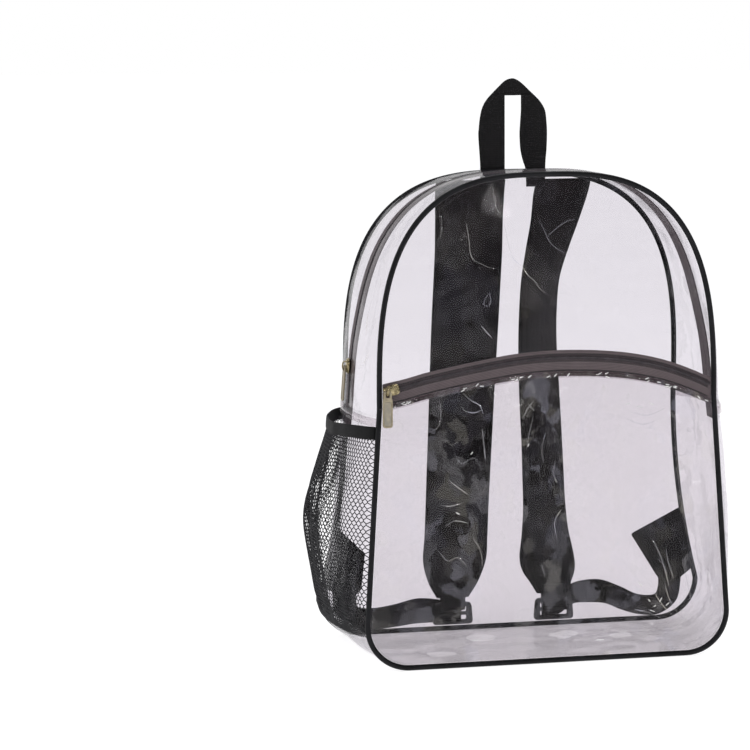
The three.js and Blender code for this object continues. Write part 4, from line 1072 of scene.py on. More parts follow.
    def sides(self) -> None:
        """Lower strip, upper strips on both sides of the zipper, and the folded cross seams."""
        seam = SHAPE.place_at(SHAPE.seam_z, Side.RIGHT)
        hem = lambda p: SHAPE.inset / SHAPE.depth_at(p)
        mid = -(SHAPE.vinyl - self.thick) / 2
        creases = Creases(51, (0, 760, 0, 130), 70, height=(0.15, 0.5))
        self._strip("side_strip_lower", -seam, seam, lambda p: (hem(p), 1 - hem(p)), 36, creases, mid,
                    mid - self.thick, self.finishes.side_vinyl, ("gusset_lower",))
        a = SHAPE.place_at(SHAPE.seam_z + SHAPE.gap, Side.RIGHT)
        b = SHAPE.around - a
        slot = lambda p: SHAPE.slot / SHAPE.depth_at(p)
        for name, node, edges, seed in (
            ("side_strip_front", "gusset_upper_front", lambda p: (hem(p), SHAPE.zip_across(p) - slot(p)), 61),
            ("side_strip_rear", "gusset_upper_rear", lambda p: (SHAPE.zip_across(p) + slot(p), 1 - hem(p)), 67),
        ):
            creases = Creases(seed, (0, 800, 0, 120), 60, length=(12, 45), height=(0.1, 0.35), waves=0.3)
            self._strip(name, a, b, edges, 18, creases, mid, mid - self.thick, self.finishes.side_vinyl, (node,))
        low, high, under, over = self.fold
        for side in Side:
            ends = sorted(SHAPE.place_at(SHAPE.seam_z - d, side) for d in (low, high))
            self._strip(f"cross_seam_{side.label}", *ends, lambda p: (hem(p), 1 - hem(p)), 36, None, over,
                        under, self.finishes.hem, (f"gusset_seam_{side.label}",))


@dataclass
class Piping:
    """Round piping along a panel's seam."""

    finishes: Finishes
    sides: int = 14
    steps: int = 420
    girth: float = 14.0

    def build(self) -> None:
        """Both pipings: a circle of the pipe's radius carried around each outline."""
        for name, panel, sign in (("front", SHAPE.front, -1), ("back", SHAPE.rear, 1)):
            place = np.linspace(0, SHAPE.around, self.steps, endpoint=False)
            x, z, nx, nz = SHAPE.ring(panel, place)
            centre = np.stack([x, sign * SHAPE.half_depth(z), z], -1)
            out = np.stack([nx, 0 * nx, nz], -1)
            lean = np.array([0.0, 1.0, 0.0])
            a = circle(self.sides)
            ring = SHAPE.pipe * (np.cos(a)[None, :, None] * out[:, None] + np.sin(a)[None, :, None] * lean)
            run = np.append(flow(centre)[1], 0)
            run[-1] = run[-2] + 2
            uv = cloth_grid(run, np.linspace(0, self.girth, self.sides + 1))
            skin = Skin()
            skin.tube(centre[:, None] + ring, uv, closed=True)
            dress(skin.build(f"{name}_piping_cord"), self.finishes.piping, Slot.PIPING, f"{name}_piping")


@dataclass
class Zipper:
    """Two woven tapes and a nylon coil between them."""

    finishes: Finishes
    pocket_up: float = 6.0
    pocket_down: float = 15.0
    main_tape: float = 25.0
    tooth_reach: float = 2.3
    split: float = 0.25
    coil_out: float = 0.8
    main_coil_in: float = 1.4
    tape_tail: float = 18.0
    coil_start: float = 3.0
    pitch: float = 1.3
    ends: float = 0.992

    def _ribbon(self, name: str, node: str, point: Callable[[Array, Array, Array | float], Array], count: int,
                low: float, high: float) -> None:
        """A tape between two distances from the zipper's line, with its cord-like inner edge a little raised."""
        d = np.linspace(low, high, max(int(abs(high - low) / 0.7), 8))
        s = np.linspace(0, 1, count)
        grid_s, grid_d = np.meshgrid(s, d, indexing="ij")
        rise = 0.25 * np.exp(-(((np.abs(grid_d) - self.tooth_reach - 1.0) / 0.6) ** 2))
        top, under = point(grid_s, grid_d, SHAPE.tape_thick / 2 + rise), point(grid_s, grid_d, -SHAPE.tape_thick / 2)
        run = flow(top[:, 0])[1]
        uv = np.stack([np.broadcast_to(run[:, None], grid_d.shape), grid_d], -1)
        skin = Skin()
        skin.shell(top, under, uv)
        fix_outward(dress(skin.build(name), self.finishes.tape, Slot.TAPE, node))

    def _coil(self, name: str, node: str, line: Array, out: Array) -> None:
        """Nylon teeth: bars from either tape in turn, each thick at its head in the middle and thin at its root."""
        run = flow(line)[1]
        at = np.arange(0.3, run[-1], self.pitch / 2)
        centre = read_line(line, run, at)
        normal = unit(read_line(out, run, at))
        forward = flow(centre)[0]
        side = unit(np.cross(forward, normal))
        sign = np.where(np.arange(len(at)) % 2, 1.0, -1.0)[:, None, None]
        across = np.array([-0.55, -0.2, 0.5, 1.5, 2.3]) * self.tooth_reach / 2.3
        high = np.array([0.3, 0.62, 0.72, 0.6, 0.15])
        long = self.pitch * np.array([0.2, 0.33, 0.33, 0.27, 0.2])
        lift = np.array([0.35, 0.5, 0.45, 0.25, 0.0])
        a = circle(4) + math.pi / 4
        ring = [side[:, None] * (sign * across[k]) + normal[:, None] * (lift[k] + high[k] * np.sin(a)[None, :, None])
                + forward[:, None] * (long[k] * np.cos(a)[None, :, None]) for k in range(5)]
        base = np.concatenate([centre[:, None] + r for r in ring], axis=1)
        faces = [[4 * r + j, 4 * r + (j + 1) % 4, 4 * r + 4 + (j + 1) % 4, 4 * r + 4 + j]
                 for r in range(4) for j in range(4)] + [[3, 2, 1, 0], [16, 17, 18, 19]]
        skin = Skin()
        skin.copies(base, np.array(faces), np.stack([at, 0 * at], -1))
        fix_outward(dress(skin.build(name), self.finishes.coil, Slot.COIL, node))

    def pocket(self) -> None:
        """The arched zipper of the front pocket."""
        def point(s: Array, d: Array, lift: Array | float) -> Array:
            """Point at share s along the line, distance d above it and lift in front of the face."""
            x, z = SHAPE.above_pocket_line(mix(-1, 1, s), d)
            return np.stack([x, SHAPE.front_face(x, z) - lift, z], -1)

        self._ribbon("pocket_tape_upper", "pocket_zipper_upper_tape", point, 200, self.split, self.pocket_up)
        self._ribbon("pocket_tape_lower", "pocket_zipper_lower_tape", point, 200, -self.pocket_down, -self.split)
        # Rows of close dark stitch beads beside the coil and at the hem's edge: stitching, and painted shadow lines
        # along the coil and under the hem's fold
        for name, d in (("inner", -3.1), ("outer", -10.3), ("upper", 2.9)):
            row = even_line(point(np.linspace(0.01, 0.99, 400), np.full(400, d), SHAPE.tape_thick / 2 + 0.12), 1.9)
            thread = Skin()
            centre = (row[1:] + row[:-1]) / 2
            beads(thread, centre, unit(np.diff(row, axis=0)), to_front(centre), (0.85, 0.42, 0.2))
            dress(thread.build(f"pocket_tape_stitches_{name}"), self.finishes.thread, Slot.TAPE)
        s = np.linspace((1 - self.ends) / 2, (1 + self.ends) / 2, 300)
        line = point(s, 0 * s, self.coil_out)
        self._coil("pocket_coil", "pocket_zipper_coil", line, to_front(line))

    def main(self) -> None:
        """The main zipper, over the top and down both sides."""
        end = SHAPE.seam_z - self.tape_tail
        start, stop = SHAPE.place_at(end, Side.RIGHT), SHAPE.place_at(end, Side.LEFT)
        depth = -SHAPE.vinyl - SHAPE.gap - 0.2 - SHAPE.tape_thick / 2

        def point(s: Array, d: Array, lift: Array | float) -> Array:
            """Point at share s along the zipper, distance d behind its line and lift above the tape."""
            place = mix(start, stop, s)
            across = SHAPE.zip_across(place) + d / SHAPE.depth_at(place)
            return SHAPE.side_point(place, across, depth + lift)

        half = self.main_tape / 2
        self._ribbon("main_tape_front", "main_zipper_front_tape", point, 300, -half, -self.split)
        self._ribbon("main_tape_rear", "main_zipper_rear_tape", point, 300, self.split, half)
        at = SHAPE.seam_z + self.coil_start
        place = np.linspace(SHAPE.place_at(at, Side.RIGHT), SHAPE.place_at(at, Side.LEFT), 700)
        across = SHAPE.zip_across(place)
        line = SHAPE.side_point(place, across, -self.main_coil_in)
        self._coil("main_coil", "main_zipper_coil", line, unit(SHAPE.side_point(place, across) - line))


def fix_outward(made: bpy.types.Object) -> None:
    """Turns every closed shell of a mesh so that its faces point outwards."""
    work = bmesh.new()
    work.from_mesh(made.data)
    bmesh.ops.recalc_face_normals(work, faces=work.faces)
    work.to_mesh(made.data)
    work.free()
    made.data.update()


@dataclass
class NetPocket:
    """Side net pocket on the left: a hexagonal net of round strands with a folded binding along its mouth."""

    finishes: Finishes
    bulge: float = 25.0
    cell: float = 3.3
    strand: float = 0.4
    tall: float = 152.0
    wide: float = 158.0
    rows: tuple = ((-0.72, 0.24), (0, 0.34), (0.43, 0.48), (1, 0.62), (2, 0.84), (3, 1), (4, 0.972), (5, 0.732),
                   (6.2, 0.53))
    binding_low: float = 6.27
    binding_wide: float = 10.5
    binding_off: float = 12.6
    binding_girth: float = 24.0

    def point(self, steps: Array, share: Array, extra: Array | float = 0.0, off: Array | None = None) -> Array:
        """A point of the net: outline steps above the lower corner, share between its sewn edges."""
        place = SHAPE.around - (SHAPE.base_steps + SHAPE.corner_steps + steps)
        edge = SHAPE.inset / SHAPE.depth_at(place)
        skew = share ** 1.15
        stand = along(self.rows, steps) * self.bulge if off is None else off
        rise = stand * np.maximum(4 * skew * (1 - skew), 0) ** 0.75
        return SHAPE.side_point(place, mix(edge, 1 - edge, share), SHAPE.gap + rise + extra)

    def folds(self, steps: Array, share: Array) -> Array:
        """Upright folds of the loose net, deepest in its middle: sums of bent sine waves across it."""
        ripple = (np.sin(share * 21 + 1.2 * np.sin(steps * 0.9)) + 0.6 * np.sin(share * 37 + steps * 0.8 + 1))
        hold = ease(np.minimum(share, 1 - share) / 0.12) * ease((steps + 0.7) / 1.2) * ease((6.3 - steps) / 1.5)
        return 1.5 * ripple * hold

    def net(self) -> None:
        """Strands along the edges of a hexagon lattice laid over the net's surface, each a flat prism."""
        across = int(self.wide / (self.cell * 0.92))
        up = int(self.tall / (self.cell * 0.8))
        i, j = np.meshgrid(np.arange(up), np.arange(across), indexing="ij")
        u = (j + 0.5 * (i % 2)) / across
        node = lambda di, dj, high: (u + dj / across, (i + di + (1 / 3 if high else 0)) / up)
        ends = []
        ends.append((node(0, 0, False), node(0, 0, True)))
        ends.append((node(0, 0, True), node(1, 0.5, False)))
        ends.append((node(0, 0, True), node(1, -0.5, False)))
        a = np.concatenate([np.stack([p[0].ravel(), p[1].ravel()], -1) for p, _ in ends])
        b = np.concatenate([np.stack([q[0].ravel(), q[1].ravel()], -1) for _, q in ends])
        keep = (np.minimum(a, b) >= 0).all(1) & (np.maximum(a, b) <= 1).all(1)
        a, b = a[keep], b[keep]

        def place(uv: Array) -> Array:
            """Points of the folded net at shares across and up it."""
            low, high = self.rows[0][0], self.binding_low + 0.15
            steps = mix(low, high, uv[:, 1])
            return self.point(steps, uv[:, 0], self.folds(steps, uv[:, 0]))

        p, q = place(a), place(b)
        e = 0.002
        normal = unit(np.cross(place(a + [e, 0]) - p, place(a + [0, e]) - p))
        side = unit(np.cross(q - p, normal))
        turn = circle(4)
        ring = self.strand * (np.cos(turn)[None, :, None] * side[:, None]
                              + np.sin(turn)[None, :, None] * normal[:, None])
        reach = unit(q - p) * self.strand * 0.5
        base = np.concatenate([(p - reach)[:, None] + ring, (q + reach)[:, None] + ring], axis=1)
        faces = [[k, (k + 1) % 4, 4 + (k + 1) % 4, 4 + k] for k in range(4)] + [[3, 2, 1, 0], [4, 5, 6, 7]]
        skin = Skin()
        skin.copies(base, np.array(faces), a * [self.wide, self.tall])
        fix_outward(dress(skin.build("net_strands"), self.finishes.net, Slot.NET, "mesh_pocket"))

    def binding(self) -> None:
        """A folded tape over the net's mouth, rounded at its upper fold."""
        low = SHAPE.around - (SHAPE.base_steps + SHAPE.corner_steps + self.binding_low)
        z_low = float(SHAPE.ring(SHAPE.front, np.array(low))[1])
        high = SHAPE.place_at(z_low + self.binding_wide, Side.LEFT)
        steps_high = SHAPE.around - high - SHAPE.base_steps - SHAPE.corner_steps
        share = np.linspace(0, 1, 90)
        a = circle(20)
        t = (1 - np.cos(a)) / 2
        bulge = 0.8 + 0.75 * keep_sign(np.sin(a), 0.45)
        steps = mix(self.binding_low, steps_high, t)[None] + 0.02 * np.sin(share * 9)[:, None]
        sag = -0.12 * (4 * share * (1 - share))[:, None]
        size = (len(share), len(a))
        off = np.full(size, self.binding_off) + self.folds(np.full(size, 5.5), share[:, None]) * 0.4
        rings = self.point(steps + sag, np.broadcast_to(share[:, None], size), bulge[None], off)
        run = flow(rings[:, 0])[1]
        skin = Skin()
        skin.tube(rings, cloth_grid(run, np.linspace(0, self.binding_girth, len(a) + 1)))
        fix_outward(dress(skin.build("net_binding_tape"), self.finishes.binding, Slot.WEBBING, "mesh_pocket_binding"))

    def build(self) -> None:
        """The net and its binding."""
        self.net()
        self.binding()


def ribbon(left: Array, right: Array, thick: float, rise: float = 0.0, columns: int = 9) -> tuple:
    """A band of rounded section between two edge lines.

    Args:
        left: one edge, points x 3.
        right: the other edge.
        thick: the band's thickness.
        rise: how far its middle stands up along the band's normal.
        columns: points across each face.

    Returns:
        Rings of the band, rings x points x 3, and its UVs.
    """
    forward = flow((left + right) / 2)[0]
    wide = right - left
    normal = unit(np.cross(forward, wide))
    half = np.linspace(0, 1, columns)
    share = np.concatenate([half, half[::-1]])
    edge = (1 - np.abs(2 * share - 1) ** 6) ** 0.5
    face = np.concatenate([np.ones(columns), -np.ones(columns)]) * (0.25 + 0.75 * edge) * thick / 2
    lift = face + rise * (1 - (2 * share - 1) ** 2)
    rings = left[:, None] + wide[:, None] * share[None, :, None] + normal[:, None] * lift[None, :, None]
    run = flow((left + right) / 2)[1]
    width = float(np.linalg.norm(wide, axis=1).mean())
    girth = np.concatenate([share * width, [0.0]])
    return rings, cloth_grid(run, girth)


def smooth_rows(rows: list, count: int) -> Array:
    """Rows of numbers as one smooth run through all of them: a cubic through each column against its index.

    Args:
        rows: rows of the same length.
        count: how many rows come back.

    Returns:
        count x columns.
    """
    table = np.asarray(rows, float)
    index = np.arange(len(table))
    at = np.linspace(0, len(table) - 1, count)
    return np.stack([along(list(zip(index, table[:, k])), at) for k in range(table.shape[1])], -1)


@dataclass
class Handle:
    """The hang loop: one length of webbing folded over at two mitred corners."""

    finishes: Finishes
    thick: float = 1.5
    rise: float = 77.4
    left_leg: tuple = ((-27.2, -5.9, -0.17), (-27.1, -5.9, 0.07), (-28.6, -5.9, 0.37), (-28.3, -5.9, 0.47),
                       (-27.1, -5.9, 0.6), (-24.9, -5.9, 0.705), (-20.5, -5.9, 0.79), (-17.5, -5.9, 0.83))
    right_leg: tuple = ((12.8, 29.2, -0.17), (12.0, 29.3, 0.02), (9.6, 29.6, 0.12), (7.6, 30.4, 0.24),
                        (6.9, 30.8, 0.4), (7.4, 30.4, 0.52), (8.1, 28.9, 0.66), (8.1, 24.0, 0.765),
                        (8.1, 18.5, 0.83))
    cap: tuple = ((-23.5, 0.725, 0.735), (-20.5, 0.76, 0.79), (-16.1, 0.8, 0.85), (-11.0, 0.818, 0.915),
                  (-5.9, 0.82, 0.975), (-1.5, 0.82, 1.0), (3.0, 0.82, 1.0), (8.8, 0.82, 0.955), (16.1, 0.805, 0.867),
                  (22.0, 0.765, 0.795), (26.0, 0.71, 0.722))

    def build(self) -> None:
        """Two legs and the bridge behind them, each a rounded band, in one mesh."""
        y = float(SHAPE.half_depth(SHAPE.height)) + SHAPE.inset
        top = SHAPE.lift + SHAPE.height * SHAPE.rear.tall
        skin = Skin()
        for rows in (self.left_leg, self.right_leg):
            r = smooth_rows(list(rows), 40)
            z = top + r[:, 2] * self.rise
            lean = y + 0.75 + 0.0 * z
            left = np.stack([r[:, 0], lean, z], -1)
            right = np.stack([r[:, 1], lean, z], -1)
            skin.tube(*ribbon(left, right, self.thick))
        cap = smooth_rows(list(self.cap), 60)
        back = y + 1.9
        low = np.stack([cap[:, 0], np.full(60, back), top + cap[:, 1] * self.rise], -1)
        high = np.stack([cap[:, 0], np.full(60, back), top + cap[:, 2] * self.rise], -1)
        skin.tube(*ribbon(low, high, self.thick))
        fix_outward(dress(skin.build("handle_webbing"), self.finishes.webbing, Slot.WEBBING, "grab_handle"))


@dataclass
class Straps:
    """Padded shoulder straps with bound edges and their adjusting webbing."""

    finishes: Finishes
    wide: float = 58.0
    thick: float = 6.0
    out: float = 26.0
    tables: dict = field(default_factory=lambda: {
        Side.LEFT: ((0.974, -0.2331, 0.238, 1.017, 0.6, 0), (0.9435, -0.2324, 0.404, 1.017, 0.933, 0),
                    (0.8826, -0.2284, 0.596, 1, 1, 0), (0.8217, -0.225, 0.731, 1, 1, 0),
                    (0.7456, -0.2297, 0.846, 1, 1, 0), (0.6694, -0.2365, 0.923, 1, 1, 0),
                    (0.5831, -0.2446, 0.981, 0.99, 1, 0), (0.4968, -0.2534, 1, 0.976, 1, 0),
                    (0.4105, -0.2635, 0.981, 0.966, 1, 0), (0.3217, -0.2757, 0.923, 0.955, 1, 0),
                    (0.2557, -0.2858, 0.846, 0.948, 1, 0), (0.1923, -0.2959, 0.75, 0.948, 1, 0),
                    (0.1415, -0.3081, 0.654, 0.948, 0.933, 0), (0.0958, -0.3182, 0.577, 0.759, 0.8, 0),
                    (0.0603, -0.325, 0.519, 0.483, 0.667, 0)),
        Side.RIGHT: ((0.974, 0.32, 0.34, 0.83, 0.6, 6), (0.9435, 0.309, 0.5, 0.88, 0.933, 12),
                     (0.8826, 0.285, 0.712, 0.9, 1, 25), (0.8217, 0.2505, 0.885, 0.95, 1, 35),
                     (0.7532, 0.2149, 1, 0.983, 1, 42), (0.6796, 0.2047, 1.077, 0.983, 1, 43),
                     (0.6034, 0.2047, 1.096, 0.976, 1, 42), (0.5019, 0.2162, 1.077, 0.976, 1, 40),
                     (0.4029, 0.2297, 1.038, 0.966, 1, 39), (0.3242, 0.2378, 1, 0.966, 1, 38),
                     (0.2557, 0.2432, 0.942, 0.948, 1, 36), (0.1923, 0.2446, 0.846, 0.948, 1, 30),
                     (0.1466, 0.2473, 0.712, 0.931, 0.933, 18), (0.111, 0.2568, 0.596, 0.81, 0.8, 3),
                     (0.0857, 0.2669, 0.546, 0.638, 0.733, 0), (0.0603, 0.277, 0.519, 0.483, 0.667, 0)),
    })
    web_thick: float = 1.5
    padding_girth: float = 126.0
    webs: dict = field(default_factory=lambda: {
        Side.RIGHT: ((33, 20.2, 19, 33, 20.2, 3), (45, 20.2, 23, 48, 20.2, 5), (56, 20, 30, 61, 20, 13.5),
                     (67, 17, 34.5, 73, 19, 14.5), (84, 13, 35.5, 89, 16.5, 13.5), (101, 12, 29, 103, 16, 7.5),
                     (117, 10.5, 21.5, 120, 16, 2.2), (131, 8.5, 21, 138, 14, 2.4), (134, 6, 28, 152, 9, 15),
                     (134, 4.9, 38, 154.5, 4.9, 36), (133.5, 4.5, 50, 154.5, 4.5, 50)),
        Side.LEFT: ((-39, 20.2, 19, -39, 20.2, 3), (-53, 20.2, 22, -55, 20.2, 3), (-68, 18, 25, -69, 19, 3.5),
                    (-82, 12.5, 26.5, -83, 15, 4), (-100, 10.5, 23, -101, 13, 2.4), (-118, 9, 21, -119, 11.5, 1.6),
                    (-132, 7.5, 22.5, -138, 10, 2.4), (-134, 6, 29, -152, 8, 15), (-134, 4.9, 38, -154.5, 4.9, 36),
                    (-133.5, 4.5, 50, -154.5, 4.5, 50)),
    })

    def strap(self, side: Side) -> None:
        """A padded strap: a rounded flat section carried down the table, slimmer along its stitched edges."""
        name = side.label
        r = smooth_rows(list(self.tables[side]), 170)
        z = SHAPE.lift + r[:, 0] * SHAPE.height
        turn = np.radians(r[:, 5])
        wide = np.stack([np.cos(turn), np.sin(turn), 0 * turn], -1)
        deep = np.stack([-np.sin(turn), np.cos(turn), 0 * turn], -1)
        middle = np.stack([r[:, 1] * SHAPE.rear.mid, SHAPE.half_depth(z) + r[:, 2] * self.out, z], -1)
        half_w, half_t = r[:, 3] * self.wide / 2, r[:, 4] * self.thick / 2
        a = circle(64)
        u = keep_sign(np.cos(a), 0.35)
        body = (1 - np.abs(u) ** 5) ** 0.5
        channel = 1 - 0.3 * np.exp(-(((np.abs(u) - 0.8) / 0.035) ** 2))
        v = np.sign(np.sin(a)) * (0.32 + 0.68 * body * channel)
        v = np.where(np.abs(np.sin(a)) < 1e-6, 0, v)
        run = flow(middle)[1]
        puff = 1 + 0.035 * np.sin(run / 11.0 + 0.6 * np.sin(run / 29))[:, None] * (1 - u[None] ** 2)
        rings = (middle[:, None] + wide[:, None] * (u[None] * half_w[:, None])[..., None]
                 + deep[:, None] * (v[None] * half_t[:, None] * puff)[..., None])
        skin = Skin()
        skin.tube(rings, cloth_grid(run, np.linspace(0, self.padding_girth, len(a) + 1)))
        made = dress(skin.build(f"strap_pad_{name}"), self.finishes.strap, Slot.STRAP, f"shoulder_strap_{name}")
        fix_outward(made)
        trim = Skin()
        for sign in (-1, 1):
            b = circle(16)
            bu = sign * (0.93 + 0.085 * np.cos(b))
            bv = np.sin(b) * 0.62
            ring = (middle[:, None] + wide[:, None] * (bu[None] * half_w[:, None])[..., None]
                    + deep[:, None] * (bv[None] * half_t[:, None])[..., None])
            trim.tube(ring, cloth_grid(run, np.linspace(0, 12, 17)))
        fix_outward(dress(trim.build(f"strap_binding_{name}"), self.finishes.binding, Slot.STRAP))

    def web(self, side: Side) -> None:
        """Adjusting webbing from the lock to the corner tab."""
        name = side.label
        rows = smooth_rows(list(self.webs[side]), 90)
        y0 = float(SHAPE.half_depth(21.5))
        left = rows[:, 0:3] + [0, y0, 0]
        right = rows[:, 3:6] + [0, y0, 0]
        skin = Skin()
        skin.tube(*ribbon(left, right, self.web_thick))
        fix_outward(dress(skin.build(f"web_{name}"), self.finishes.webbing, Slot.WEBBING, f"strap_webbing_{name}"))

    def build(self) -> None:
        """Both sides."""
        for side in Side:
            self.strap(side)
            self.web(side)


def beads(skin: Skin, centre: Array, forward: Array, out: Array, half: tuple) -> None:
    """Adds many small rounded bars, such as stitches: rings of four points at four places along each.

    Args:
        skin: where they go.
        centre: their middles.
        forward: their length's directions.
        out: the directions that they stand up in.
        half: half their length, width and height.
    """
    side = unit(np.cross(forward, out))
    up = unit(np.cross(side, forward))
    a = circle(4)
    rings = []
    for step, size in ((-1.0, 0.35), (-0.7, 0.95), (0.7, 0.95), (1.0, 0.35)):
        rings.append(centre[:, None] + forward[:, None] * (step * half[0])
                     + side[:, None] * (np.cos(a) * size * half[1])[None, :, None]
                     + up[:, None] * (np.sin(a) * size * half[2])[None, :, None])
    faces = [[4 * r + j, 4 * r + 4 + j, 4 * r + 4 + (j + 1) % 4, 4 * r + (j + 1) % 4]
             for r in range(3) for j in range(4)] + [[0, 1, 2, 3], [15, 14, 13, 12]]
    skin.copies(np.concatenate(rings, axis=1), np.array(faces), centre[:, [0, 2]])


def rounded(points: list, radius: float, steps: int = 5) -> Array:
    """A closed outline with its corners rounded: between points at `radius` from a corner p runs the curve
    (1 - t)^2 a + 2 t (1 - t) p + t^2 b."""
    p = np.asarray(points, float)
    before, after = np.roll(p, 1, 0), np.roll(p, -1, 0)
    reach = lambda q: np.minimum(radius, 0.48 * np.linalg.norm(q - p, axis=1))[:, None]
    a, b = p + unit(before - p) * reach(before), p + unit(after - p) * reach(after)
    t = np.linspace(0, 1, steps)[None, :, None]
    return ((1 - t) ** 2 * a[:, None] + 2 * t * (1 - t) * p[:, None] + t * t * b[:, None]).reshape(-1, 2)


@dataclass(frozen=True)
class Stand:
    """Where a flat-made thing goes: its origin and the directions of its own x, y and z."""

    at: tuple | Array
    x: tuple | Array
    y: tuple | Array
    z: tuple | Array

    def put(self, points: Array) -> Array:
        """Points moved from the thing's own directions into the bag's."""
        return points @ np.array([self.x, self.y, self.z], float) + np.array(self.at, float)


def cut_plate(skin: Skin, stand: Stand, loops: list, low: float, high: float, bevel: float) -> None:
    """Adds a flat plate with round edges and holes, filled from its outlines.

    Args:
        skin: where it goes.
        stand: its place.
        loops: its outline, then its holes, each points x 2.
        low: where it starts along its own z.
        high: where it ends.
        bevel: radius of its edges.
    """
    curve = bpy.data.curves.new("outline", "CURVE")
    curve.dimensions = "2D"
    curve.fill_mode = "BOTH"
    curve.extrude = (high - low) / 2 - bevel
    curve.bevel_depth = bevel
    curve.bevel_resolution = 2
    curve.offset = -bevel
    for loop in loops:
        spline = curve.splines.new("POLY")
        spline.points.add(len(loop) - 1)
        four = np.concatenate([loop, np.zeros((len(loop), 1)), np.ones((len(loop), 1))], axis=1)
        spline.points.foreach_set("co", four.ravel())
        spline.use_cyclic_u = True
    carrier = bpy.data.objects.new("outline", curve)
    mesh = bpy.data.meshes.new_from_object(carrier)
    work = bmesh.new()
    work.from_mesh(mesh)
    bmesh.ops.remove_doubles(work, verts=work.verts, dist=1e-4)
    work.to_mesh(mesh)
    work.free()
    points = np.empty(len(mesh.vertices) * 3)
    mesh.vertices.foreach_get("co", points)
    points = points.reshape(-1, 3) + [0, 0, (low + high) / 2]
    total = np.empty(len(mesh.polygons), int)
    mesh.polygons.foreach_get("loop_total", total)
    index = np.empty(len(mesh.loops), int)
    mesh.loops.foreach_get("vertex_index", index)
    first = np.concatenate([[0], np.cumsum(total)[:-1]])
    skin.points.append(stand.put(points))
    for sides, faces, uvs in ((4, skin.quads, skin.quad_uv), (3, skin.triangles, skin.triangle_uv)):
        pick = first[total == sides]
        if len(pick):
            numbers = index[pick[:, None] + np.arange(sides)]
            faces.append(numbers + skin.count)
            uvs.append(points[numbers][..., :2])
    skin.count += len(points)
    bpy.data.objects.remove(carrier)
    bpy.data.curves.remove(curve)
    bpy.data.meshes.remove(mesh)


def hard(made: bpy.types.Object, angle: float = 35.0) -> bpy.types.Object:
    """Turns the faces of a moulded piece outwards and keeps its edges sharp."""
    fix_outward(made)
    made.data.set_sharp_from_angle(angle=math.radians(angle))
    return made


